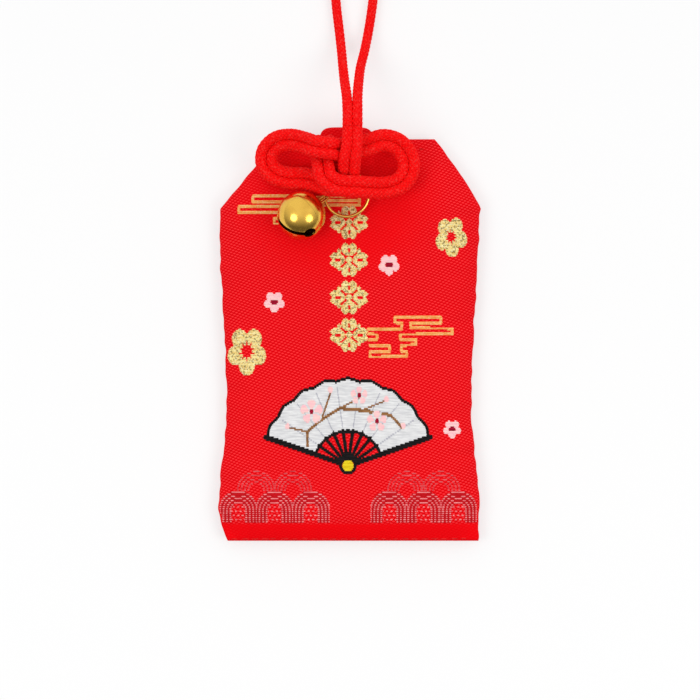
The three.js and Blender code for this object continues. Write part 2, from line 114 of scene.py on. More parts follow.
class Net:
    """Adds and links the nodes of one shader tree."""

    def __init__(self, tree: Tree) -> None:
        """Keeps the tree."""
        self.tree = tree

    def add(self, kind: str, *values: object, **settings: object) -> Node:
        """Adds a node.

        Args:
            kind: The node's type name without its prefix.
            values: Its first inputs in order, as sockets or plain values.
            settings: Properties set on the node.

        Returns:
            The new node.
        """
        node = self.tree.nodes.new("ShaderNode" + kind)
        for key, value in settings.items():
            setattr(node, key, value)
        for socket, value in zip(node.inputs, values):
            self.put(socket, value)
        return node

    def put(self, socket: Socket, value: object) -> None:
        """Links a socket to another one, or sets its value.

        Args:
            socket: The input.
            value: The socket that feeds it, or its plain value.
        """
        if isinstance(value, Socket):
            self.tree.links.new(value, socket)
        elif isinstance(value, tuple) and len(value) == 3 and socket.type == "RGBA":
            socket.default_value = (*value, 1.0)
        else:
            socket.default_value = value

    def math(self, operation: str, *values: object) -> Socket:
        """Returns what an operation makes of sockets and numbers."""
        return self.add("Math", *values, operation=operation).outputs[0]

    def weighed(self, *terms: tuple[Socket, float]) -> Socket:
        """Returns the sum of two sockets, each times its own factor."""
        return self.math("ADD", *(self.math("MULTIPLY", socket, factor) for socket, factor in terms))

    def scaled(self, vector: object, scale: Triple) -> Socket:
        """Returns a vector times a factor for each axis."""
        return self.add("VectorMath", vector, scale, operation="MULTIPLY").outputs[0]

    def axes(self, vector: object) -> list[Socket]:
        """Returns a vector's X, Y and Z."""
        return list(self.add("SeparateXYZ", vector).outputs)

    def mix(self, factor: object, first: object, second: object, kind: str = "RGBA") -> Socket:
        """Mixes two colours or two values.

        Args:
            factor: The share of the second.
            first: The first colour or value.
            second: The second one.
            kind: RGBA for colours, FLOAT for values.

        Returns:
            The mix.
        """
        node = self.add("Mix", data_type=kind)
        start, result = (6, 2) if kind == "RGBA" else (2, 0)
        self.put(node.inputs[0], factor)
        self.put(node.inputs[start], first)
        self.put(node.inputs[start + 1], second)
        return node.outputs[result]

    def noise(self, vector: object, scale: object, detail: float = 2.0) -> Socket:
        """Adds a noise texture.

        Args:
            vector: The place.
            scale: Its fineness.
            detail: How many finer noises it adds.

        Returns:
            A value around a half.
        """
        node = self.add("TexNoise")
        self.put(node.inputs["Vector"], vector)
        self.put(node.inputs["Scale"], scale)
        node.inputs["Detail"].default_value = detail
        return node.outputs[0]

    def span(self, value: object, low: float, high: float, to_low: float, to_high: float) -> Socket:
        """Returns a value carried from one range to another, and clamped to that one."""
        return self.add("MapRange", value, low, high, to_low, to_high).outputs[0]


class Groups:
    """The shader node groups that the finishes share, each built once."""

    # Satin floats: the two steps of their lattice and half their length and width in millimetres
    float_steps: tuple[Point, Point] = ((0.214, -0.628), (-0.458, -0.402))
    float_half: Point = (0.3, 0.15)
    float_slope: Point = (0.2, 1.25)
    float_edge: Point = (0.7, 1.15)

    # Yarn: the lean of its ply, its noise along and across a thread, and its sparkles
    ply_lean: float = 0.8
    tone_scale: Triple = (400, 3200, 1)
    glint_scale: float = 3600
    glint_edge: Point = (0.52, 0.66)

    # Braid: how far a strand dips where another one crosses it, and where its groove shows
    dip_reach: float = 0.6
    dip_share: float = 0.5
    groove_edge: Point = (0.15, 0.6)

    # Mottle and metal wear: their fineness per metre and where they show
    fine_mottle: float = 9.0
    line_scale: Triple = (2600, 500, 900)
    line_edge: Point = (0.35, 0.75)
    dull_scale: float = 420
    dull_edge: Point = (0.45, 0.75)

    def __init__(self) -> None:
        """Builds every group."""
        self.weave = self._weave()
        self.thread = self._thread()
        self.braid = self._braid()
        self.mottle = self._mottle()
        self.wear = self._wear()

    @staticmethod
    def _start(
        name: str, outputs: Sequence[str], numbers: Sequence[str] = ()
    ) -> tuple[Net, dict[str, Socket], dict[str, Socket]]:
        """Starts a group that takes a place as its vector.

        Args:
            name: The group's name.
            outputs: Names of its value outputs.
            numbers: Names of the value inputs that it has beside the vector.

        Returns:
            The group's net, its input sockets by name and its output sockets by name.
        """
        tree = bpy.data.node_groups.new(name, "ShaderNodeTree")
        tree.interface.new_socket(name="Vector", in_out="INPUT", socket_type="NodeSocketVector")
        for label in numbers:
            tree.interface.new_socket(name=label, in_out="INPUT", socket_type="NodeSocketFloat")
        for label in outputs:
            tree.interface.new_socket(name=label, in_out="OUTPUT", socket_type="NodeSocketFloat")
        entry = tree.nodes.new("NodeGroupInput")
        leave = tree.nodes.new("NodeGroupOutput")
        given = {label: entry.outputs[label] for label in ("Vector", *numbers)}
        return Net(tree), given, {label: leave.inputs[label] for label in outputs}

    def _weave(self) -> Tree:
        """Builds satin floats on a leaning lattice.

        Returns:
            The group: Height rises on each float, and Float marks it.
        """
        net, given, made = self._start("satin_weave", ["Height", "Float"])
        x, y, _ = net.axes(given["Vector"])
        (ax, ay), (bx, by) = self.float_steps
        area = (ax * by - ay * bx) * MM
        parts = []
        for along, up in ((by / area, -bx / area), (-ay / area, ax / area)):
            count = net.weighed((x, along), (y, up))
            parts.append(net.math("SUBTRACT", net.math("FRACT", count), 0.5))
        squares = []
        for step_a, step_b, half in ((ax, bx, self.float_half[0]), (ay, by, self.float_half[1])):
            offset = net.weighed((parts[0], step_a / half), (parts[1], step_b / half))
            squares.append(net.math("MULTIPLY", offset, offset))
        reach = net.math("SQRT", net.math("ADD", *squares))
        net.put(made["Height"], net.span(reach, *self.float_slope, 1, 0))
        net.put(made["Float"], net.span(reach, *self.float_edge, 1, 0))
        return net.tree

    def _thread(self) -> Tree:
        """Builds twisted yarn that runs along X.

        Returns:
            The group: Height is the ply, Tone varies from thread to thread, and Glint marks sparkles.
        """
        net, given, made = self._start("twisted_thread", ["Height", "Tone", "Glint"], ["Twists"])
        x, y, _ = net.axes(given["Vector"])
        turns = net.math("MULTIPLY", net.weighed((x, 1.0), (y, self.ply_lean)), given["Twists"])
        ply = net.math("SINE", net.math("MULTIPLY", turns, 2 * math.pi))
        net.put(made["Height"], net.span(ply, -1, 1, 0, 1))
        net.put(made["Tone"], net.noise(net.scaled(given["Vector"], self.tone_scale), 1.0, 1.0))
        sparkle = net.noise(given["Vector"], self.glint_scale, 1.0)
        net.put(made["Glint"], net.span(sparkle, *self.glint_edge, 0, 1))
        return net.tree

    def _braid(self) -> Tree:
        """Builds two families of strands that cross over and under, on a tube's own coordinates.

        Returns:
            The group: Height is the strands' crown, and Groove marks what lies between them.
        """
        net, given, made = self._start("crossed_braid", ["Height", "Groove"])
        turn, run, _ = net.axes(given["Vector"])
        phases = net.math("ADD", run, turn), net.math("SUBTRACT", run, turn)
        cells = net.math("ADD", *(net.math("FLOOR", phase) for phase in phases))
        odd = net.math("MULTIPLY", net.math("FRACT", net.math("MULTIPLY", cells, 0.5)), 2)
        crowns = []
        for phase in phases:
            crowns.append(net.math("SINE", net.math("MULTIPLY", net.math("FRACT", phase), math.pi)))
        over = net.mix(odd, *crowns, kind="FLOAT")
        dip = net.span(net.math("MULTIPLY", *crowns), 0, self.dip_reach, self.dip_share, 1)
        height = net.math("MULTIPLY", over, dip)
        net.put(made["Height"], height)
        net.put(made["Groove"], net.span(height, *self.groove_edge, 1, 0))
        return net.tree

    def _mottle(self) -> Tree:
        """Builds the unevenness of a dyed or printed surface.

        Returns:
            The group: Broad and Fine are noises of the given Scale and of a finer one.
        """
        net, given, made = self._start("mottle", ["Broad", "Fine"], ["Scale"])
        for label, factor in (("Broad", 1.0), ("Fine", self.fine_mottle)):
            scale = net.math("MULTIPLY", given["Scale"], factor)
            net.put(made[label], net.noise(given["Vector"], scale))
        return net.tree

    def _wear(self) -> Tree:
        """Builds the marks of handled metal.

        Returns:
            The group: Lines are polishing lines, and Dull marks dull patches.
        """
        net, given, made = self._start("metal_wear", ["Lines", "Dull"])
        lines = net.noise(net.scaled(given["Vector"], self.line_scale), 1.0, 3.0)
        net.put(made["Lines"], net.span(lines, *self.line_edge, 0, 1))
        dull = net.noise(given["Vector"], self.dull_scale, 4.0)
        net.put(made["Dull"], net.span(dull, *self.dull_edge, 0, 1))
        return net.tree


# Finishes


class Finish:
    """A material under construction: its tree, its shader and its coordinates."""

    def __init__(self, name: str) -> None:
        """Starts a material with one Principled shader.

        Args:
            name: The material's name.
        """
        self.material = bpy.data.materials.new(name)
        self.material.use_nodes = True
        self.net = Net(self.material.node_tree)
        self.shader = self.material.node_tree.nodes["Principled BSDF"]
        self.coordinates = self.net.add("TexCoord")

    @property
    def place(self) -> Socket:
        """The object coordinates in metres."""
        return self.coordinates.outputs["Object"]

    @property
    def lay(self) -> Socket:
        """The coordinates that lie along a cord or a cloth."""
        return self.coordinates.outputs["UV"]

    def use(self, group: Tree, **values: object) -> Node:
        """Places a shared group in the material.

        Args:
            group: The group.
            values: Its inputs by name, as sockets or plain values.

        Returns:
            The group's node.
        """
        node = self.net.add("Group", node_tree=group)
        for label, value in values.items():
            self.net.put(node.inputs[label], value)
        return node

    def surface(self, **values: object) -> None:
        """Sets or links the shader's sockets by name, with underscores for spaces."""
        for label, value in values.items():
            self.net.put(self.shader.inputs[label.replace("_", " ")], value)

    def bump(self, height: object, depth: float, strength: float) -> None:
        """Feeds the shader's normal from a height.

        Args:
            height: The height, about 0 to 1.
            depth: What a height of 1 stands for in millimetres.
            strength: How much of it shows.
        """
        node = self.net.add("Bump")
        node.inputs["Strength"].default_value = strength
        node.inputs["Distance"].default_value = depth * MM
        self.net.put(node.inputs["Height"], height)
        self.net.put(self.shader.inputs["Normal"], node.outputs[0])


@dataclass(frozen=True)
class BrocadeFinish:
    """Red satin brocade: short floats painted lighter as sheen over a deeper ground, a plain band, and painted
    sheen by the knot.
    """

    # The floats' lighter colour is painted sheen; the ground is the cloth's own red
    float_sheen_colour: Triple = srgb(255, 52, 58)
    ground_colour: Triple = srgb(222, 0, 9)
    # The plain band's own red, also used to paint the brighter sheen by the knot
    plain_and_sheen_colour: Triple = srgb(241, 3, 12)
    plain_edge: float = 0.25
    plain_and_sheen_share: float = 0.9
    # Painted sheen by the knot: a brighter, flatter red that hides the weave
    sheen_middle: Point = (-2.0, 27.0)
    sheen_reach: Point = (19.0, 17.0)
    sheen_edge: Point = (0.7, 1.15)
    sheen_share: float = 0.75
    mottle_scale: float = 110.0
    shade: float = 0.12
    roughness: Point = (0.75, 0.5)
    specular: float = 0.03
    plain_relief: float = 0.25
    fine_relief: float = 0.3
    relief_depth: float = 0.08
    relief_strength: float = 0.8

    def _plain_band_and_sheen(self, net: Net, place: Socket) -> Socket:
        """Marks the cloth that shows little of its weave: the plain band and the painted sheen by the knot.

        Args:
            net: The material's net.
            place: The object coordinates.

        Returns:
            1 in the plain band along the bottom fold, less in the painted sheen by the knot and 0 elsewhere.
        """
        x, y, _ = net.axes(place)
        squares = []
        for socket, middle, reach in zip((x, y), self.sheen_middle, self.sheen_reach):
            share = net.math("DIVIDE", net.math("SUBTRACT", socket, middle * MM), reach * MM)
            squares.append(net.math("MULTIPLY", share, share))
        away = net.math("SQRT", net.math("ADD", *squares))
        # Painted sheen by the knot
        painted_sheen = net.span(away, *self.sheen_edge, self.sheen_share, 0)
        low, high = (PLAIN_TOP - self.plain_edge) * MM, (PLAIN_TOP + self.plain_edge) * MM
        return net.math("MAXIMUM", net.span(y, low, high, 1, 0), painted_sheen)

    def material(self, groups: Groups) -> Material:
        """Makes the fabric of the panels.

        Args:
            groups: The shared node groups.

        Returns:
            The material.
        """
        made = Finish("red_brocade")
        net = made.net
        weave = made.use(groups.weave, Vector=net.scaled(made.lay, (MM, MM, 1.0)))
        mottle = made.use(groups.mottle, Vector=made.place, Scale=self.mottle_scale)
        plain = self._plain_band_and_sheen(net, made.place)
        # Floats painted lighter than the ground: painted sheen
        woven = net.mix(weave.outputs["Float"], self.ground_colour, self.float_sheen_colour)
        # The real plain band, and the painted sheen by the knot
        colour = net.mix(net.math("MULTIPLY", plain, self.plain_and_sheen_share), woven, self.plain_and_sheen_colour)
        shade = net.span(mottle.outputs["Broad"], *NOISE_SPAN, self.shade, 0)
        made.surface(
            Base_Color=net.mix(shade, colour, self.ground_colour),
            Roughness=net.span(weave.outputs["Float"], 0, 1, *self.roughness),
            Specular_IOR_Level=self.specular,
        )
        relief = net.math("MULTIPLY", weave.outputs["Height"], net.span(plain, 0, 1, 1, self.plain_relief))
        fine = net.math("MULTIPLY", mottle.outputs["Fine"], self.fine_relief)
        made.bump(net.math("ADD", relief, fine), self.relief_depth, self.relief_strength)
        return made.material


@dataclass(frozen=True)
class CordFinish:
    """Red braided cord with painted shade in the grooves between its strands and painted highlights as pale
    flecks on them.
    """

    strand_colour: Triple = srgb(255, 14, 14)
    # Painted shade in the grooves between the strands
    groove_shade_colour: Triple = srgb(228, 0, 4)
    # Painted highlights: pale flecks on the strands
    highlight_fleck_colour: Triple = srgb(255, 92, 84)
    groove_shade_share: float = 0.8
    highlight_fleck_edge: Point = (0.52, 0.66)
    highlight_fleck_share: float = 0.3
    twists: float = 6000.0
    mottle_scale: float = 300.0
    roughness: Point = (0.55, 0.72)
    specular: float = 0.05
    ply_relief: float = 0.25
    relief_depth: float = 0.1
    relief_strength: float = 0.7

    def material(self, groups: Groups) -> Material:
        """Makes the cord's braid, laid out along the cord.

        Args:
            groups: The shared node groups.

        Returns:
            The material.
        """
        made = Finish("red_braid")
        net = made.net
        braid = made.use(groups.braid, Vector=made.lay)
        thread = made.use(groups.thread, Vector=made.place, Twists=self.twists)
        mottle = made.use(groups.mottle, Vector=made.place, Scale=self.mottle_scale)
        # Painted shade in the grooves between the strands
        groove = net.math("MULTIPLY", braid.outputs["Groove"], self.groove_shade_share)
        colour = net.mix(groove, self.strand_colour, self.groove_shade_colour)
        # Painted highlights as pale flecks
        highlight_fleck = net.span(mottle.outputs["Fine"], *self.highlight_fleck_edge, 0, self.highlight_fleck_share)
        made.surface(
            Base_Color=net.mix(highlight_fleck, colour, self.highlight_fleck_colour),
            Roughness=net.span(mottle.outputs["Broad"], *NOISE_SPAN, *self.roughness),
            Specular_IOR_Level=self.specular,
        )
        ply = net.math("MULTIPLY", thread.outputs["Height"], self.ply_relief)
        made.bump(net.math("ADD", braid.outputs["Height"], ply), self.relief_depth, self.relief_strength)
        return made.material


@dataclass(frozen=True)
class ThreadFinish:
    """Yarn: two tones of one colour, with specks and a metal glint where the yarn is gilt."""

    name: str
    light: Triple
    dark: Triple
    metal: float = 0.0
    rough: float = 0.55
    glint: float = 0.0
    grain: float = 0.0
    twists: float = 3800.0
    mottle_scale: float = 240.0
    tone_span: Point = (0.35, 0.65)
    worn: float = 0.25
    speck_colour: Triple = srgb(112, 82, 26)
    speck_scale: float = 2400
    speck_edge: Point = (0.4, 0.48)
    glint_colour: Triple = srgb(255, 246, 200)
    groove_rough: float = 0.12
    crown_rough: float = -0.06
    specular: float = 0.12
    relief_depth: float = 0.05
    relief_strength: float = 0.7

    def material(self, groups: Groups) -> Material:
        """Makes the yarn's material.

        Args:
            groups: The shared node groups.

        Returns:
            The material.
        """
        made = Finish(self.name)
        net = made.net
        thread = made.use(groups.thread, Vector=made.place, Twists=self.twists)
        mottle = made.use(groups.mottle, Vector=made.place, Scale=self.mottle_scale)
        tone = net.span(thread.outputs["Tone"], *self.tone_span, 0, 1)
        worn = net.span(mottle.outputs["Fine"], *NOISE_SPAN, self.worn, 0)
        colour = net.mix(worn, net.mix(tone, self.dark, self.light), self.dark)
        if self.grain:
            speck = net.noise(made.place, self.speck_scale, 1.0)
            colour = net.mix(net.span(speck, *self.speck_edge, self.grain, 0), colour, self.speck_colour)
        if self.glint:
            sparkle = net.math("MULTIPLY", thread.outputs["Glint"], self.glint)
            colour = net.mix(sparkle, colour, self.glint_colour)
        rough = self.rough + self.groove_rough, self.rough + self.crown_rough
        made.surface(
            Base_Color=colour,
            Metallic=self.metal,
            Roughness=net.span(thread.outputs["Height"], 0, 1, *rough),
            Specular_IOR_Level=self.specular,
        )
        made.bump(thread.outputs["Height"], self.relief_depth, self.relief_strength)
        return made.material


class Yarn(Enum):
    """The yarns of the woven design and of the seams."""

    CLOUD = ThreadFinish(
        "cloud_thread", srgb(255, 194, 108), srgb(238, 150, 70), metal=0.1, rough=0.45, glint=0.35
    )
    GILT = ThreadFinish(
        "gilt_thread", srgb(255, 244, 172), srgb(236, 200, 112), metal=0.1, rough=0.4, glint=0.9, grain=0.75
    )
    PINK = ThreadFinish("pink_thread", srgb(255, 218, 210), srgb(254, 196, 204))
    CRIMSON = ThreadFinish("crimson_thread", srgb(176, 14, 52), srgb(140, 6, 36))
    WAVE = ThreadFinish("wave_thread", srgb(252, 160, 160), srgb(230, 104, 110))
    FAR_WAVE = ThreadFinish("far_wave_thread", srgb(232, 108, 112), srgb(204, 54, 62))
    WAVE_GROUND = ThreadFinish("wave_ground_thread", srgb(206, 2, 20), srgb(186, 0, 14))
    BARK = ThreadFinish("bark_thread", srgb(170, 122, 78), srgb(122, 82, 48))
    WHITE = ThreadFinish("white_thread", srgb(240, 240, 240), srgb(214, 214, 216), rough=0.5)
    GREY = ThreadFinish("grey_thread", srgb(206, 206, 212), srgb(176, 176, 186))
    BLACK = ThreadFinish("black_thread", srgb(26, 24, 26), srgb(10, 9, 10), rough=0.5)
    YELLOW = ThreadFinish("yellow_thread", srgb(246, 226, 40), srgb(222, 190, 20))
    SEWING = ThreadFinish("sewing_thread", srgb(238, 34, 34), srgb(206, 8, 12))


@dataclass(frozen=True)
class MetalFinish:
    """Polished metal with fine lines, dull patches and a slightly deeper colour in them."""

    name: str
    colour: Triple
    dull_colour: Triple
    polish: float
    dullness: float
    patch_share: float = 0.45
    line_rough: float = 0.04
    relief_depth: float = 0.004
    relief_strength: float = 0.4

    def material(self, groups: Groups) -> Material:
        """Makes the metal's material.

        Args:
            groups: The shared node groups.

        Returns:
            The material.
        """
        made = Finish(self.name)
        net = made.net
        wear = made.use(groups.wear, Vector=made.place)
        patch = net.math("MULTIPLY", wear.outputs["Dull"], self.patch_share)
        worn = net.weighed((wear.outputs["Dull"], self.dullness), (wear.outputs["Lines"], self.line_rough))
        made.surface(
            Base_Color=net.mix(patch, self.colour, self.dull_colour),
            Metallic=1.0,
            Roughness=net.math("ADD", worn, self.polish),
        )
        made.bump(wear.outputs["Lines"], self.relief_depth, self.relief_strength)
        return made.material


@dataclass(frozen=True)
class FibreFinish:
    """Card, paper or wood: two tones along fibres that are longer in one direction."""

    name: str
    light: Triple
    dark: Triple
    grain: Triple
    rough: float = 0.85
    fibre_span: Point = (0.35, 0.65)
    fibre_shade: float = 0.7
    mottle_scale: float = 150.0
    mottle_shade: float = 0.3
    rough_swing: float = 0.08
    specular: float = 0.3
    relief_depth: float = 0.03
    relief_strength: float = 0.5

    def material(self, groups: Groups) -> Material:
        """Makes the fibrous material.

        Args:
            groups: The shared node groups.

        Returns:
            The material.
        """
        made = Finish(self.name)
        net = made.net
        fibre = net.noise(net.scaled(made.place, self.grain), 1.0, 4.0)
        mottle = made.use(groups.mottle, Vector=made.place, Scale=self.mottle_scale)
        streak = net.span(fibre, *self.fibre_span, 0, self.fibre_shade)
        cloud = net.span(mottle.outputs["Broad"], *NOISE_SPAN, 0, self.mottle_shade)
        rough = self.rough - self.rough_swing, self.rough + self.rough_swing
        made.surface(
            Base_Color=net.mix(net.math("ADD", streak, cloud), self.light, self.dark),
            Roughness=net.span(fibre, *NOISE_SPAN, *rough),
            Specular_IOR_Level=self.specular,
        )
        made.bump(fibre, self.relief_depth, self.relief_strength)
        return made.material


# Mesh helpers


@dataclass
class Patchwork:
    """Collects grids of points in millimetres into one mesh."""

    points: list[Array] = field(default_factory=list)
    quads: list[Array] = field(default_factory=list)
    marks: list[Array] = field(default_factory=list)
    count: int = 0

    @staticmethod
    def corners(grid: Array) -> list[Array]:
        """Returns what a grid in rows and columns holds at its quads' first to fourth corners."""
        return [grid[:-1, :-1], grid[:-1, 1:], grid[1:, 1:], grid[1:, :-1]]

    def grid(self, points: Array, closed: bool = False, marks: Array | None = None) -> None:
        """Adds a grid of quads.

        Args:
            points: Points in rows and columns, the last axis X, Y, Z.
            closed: Whether the last column joins the first.
            marks: Texture coordinates of the same grid, with one more column where it is closed.
        """
        rows, columns, _ = points.shape
        index = np.arange(rows * columns).reshape(rows, columns) + self.count
        if closed:
            index = np.concatenate([index, index[:, :1]], axis=1)
        self.quads.append(np.stack(self.corners(index), axis=-1).reshape(-1, 4))
        if marks is not None:
            self.marks.append(np.stack(self.corners(marks), axis=2).reshape(-1, 4, 2))
        self.points.append(points.reshape(-1, 3))
        self.count += rows * columns

    def fan(self, ring: Array) -> None:
        """Closes a ring of points with one face, as quads to its first point.

        Args:
            ring: The points, an even number of them.
        """
        steps = np.arange(1, len(ring) - 1, 2)
        last = np.minimum(steps + 2, len(ring) - 1)
        self.quads.append(np.stack([np.zeros_like(steps), steps, steps + 1, last], axis=-1) + self.count)
        self.points.append(ring)
        self.count += len(ring)

    def build(self, name: str, keep: Array | None = None) -> Piece:
        """Makes the object.

        Args:
            name: The piece's name.
            keep: A mask over the quads, where some are left out.

        Returns:
            The new object, shaded smoothly and in metres.
        """
        kept = slice(None) if keep is None else keep
        quads = np.concatenate(self.quads)[kept]
        mesh = bpy.data.meshes.new(name)
        mesh.from_pydata((np.concatenate(self.points) * MM).tolist(), [], quads.tolist())
        mesh.polygons.foreach_set("use_smooth", np.ones(len(mesh.polygons), dtype=bool))
        if self.marks:
            marks = np.concatenate(self.marks)[kept]
            layer = mesh.uv_layers.new(name="lay")
            layer.data.foreach_set("uv", marks.reshape(-1).astype(np.float32))
        mesh.update()
        piece = bpy.data.objects.new(name, mesh)
        bpy.context.scene.collection.objects.link(piece)
        return piece


def dress(piece: Piece, material: Material, body: Body) -> Piece:
    """Gives a piece its material and body, and reports it.

    Args:
        piece: The piece.
        material: Its finish.
        body: The body that it rides on.

    Returns:
        The same piece.
    """
    piece.data.materials.clear()
    piece.data.materials.append(material)
    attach(piece, body.value)
    LOG.info("%s: %d points, %s", piece.name, len(piece.data.vertices), material.name)
    return piece


def smooth_step(value: Array) -> Array:
    """Returns an even rise from 0 to 1."""
    share = np.clip(value, 0, 1)
    return share * share * (3 - 2 * share)


def ripples(place: Array, waves: Sequence[Triple]) -> Array:
    """Returns the sum of sine waves, each given by its share, its rate and its start."""
    return sum(share * np.sin(rate * place + start) for share, rate, start in waves)


def along(path: Array) -> Array:
    """Returns the distance of each point of a path from its start."""
    return np.concatenate([[0], np.cumsum(np.linalg.norm(np.diff(path, axis=0), axis=1))])


def curve(points: Array) -> Array:
    """Runs a centripetal curve through points.

    Args:
        points: The points.

    Returns:
        The curve's points, with the same number of steps in each span.
    """
    ends = np.concatenate([[2 * points[0] - points[1]], points, [2 * points[-1] - points[-2]]])
    share = np.linspace(0, 1, SPAN_STEPS, endpoint=False)[:, None]
    dense = []
    for before, start, end, after in zip(ends, ends[1:], ends[2:], ends[3:]):
        gap_a, gap_b, gap_c = (
            math.sqrt(np.linalg.norm(b - a)) for a, b in ((before, start), (start, end), (end, after))
        )
        lead = (start - before) / gap_a - (end - before) / (gap_a + gap_b) + (end - start) / gap_b
        trail = (end - start) / gap_b - (after - start) / (gap_b + gap_c) + (after - end) / gap_c
        lead, trail = lead * gap_b, trail * gap_b
        square = -3 * start + 3 * end - 2 * lead - trail
        cube = 2 * start - 2 * end + lead + trail
        dense.append(start + lead * share + square * share**2 + cube * share**3)
    return np.concatenate([*dense, points[-1:]])


def spaced(line: Array, spacing: float) -> Array:
    """Spaces points evenly along a line.

    Args:
        line: The line's points.
        spacing: About how far apart the new ones lie.

    Returns:
        The new points.
    """
    reach = along(line)
    even = np.linspace(0, reach[-1], max(2, round(reach[-1] / spacing)) + 1)
    return np.stack([np.interp(even, reach, line[:, axis]) for axis in range(3)], axis=1)


def carried_frames(path: Array) -> tuple[Array, Array]:
    """Carries two side directions along a path without twist.

    Args:
        path: The path's points.

    Returns:
        The two directions at each point.
    """
    tangents = np.gradient(path, axis=0)
    tangents /= np.linalg.norm(tangents, axis=1)[:, None]
    upright = abs(tangents[0][2]) >= 0.9
    side = np.cross(tangents[0], (1.0, 0.0, 0.0) if upright else (0.0, 0.0, 1.0))
    sides = []
    for tangent in tangents:
        side = side - tangent * side.dot(tangent)
        side = side / np.linalg.norm(side)
        sides.append(side)
    across = np.array(sides)
    return across, np.cross(tangents, across)


def tube(
    patch: Patchwork, path: Array, radius: Array | float, sides: int, marks: Array | None = None
) -> None:
    """Adds a tube along a path, with closed ends where it has no texture coordinates.

    Args:
        patch: The mesh that takes it.
        path: Its middle line.
        radius: One radius, or radii by point and side.
        sides: Faces round it.
        marks: Texture coordinates, where it has them.
    """
    across, out = carried_frames(path)
    turn = np.linspace(0, 2 * math.pi, sides, endpoint=False)
    spokes = across[:, None] * np.cos(turn)[None, :, None] + out[:, None] * np.sin(turn)[None, :, None]
    reach = np.broadcast_to(np.asarray(radius, dtype=float), (len(path), sides))
    rings = path[:, None] + spokes * reach[..., None]
    patch.grid(rings, closed=True, marks=marks)
    if marks is None:
        patch.fan(rings[0][::-1])
        patch.fan(rings[-1])


# Pouch


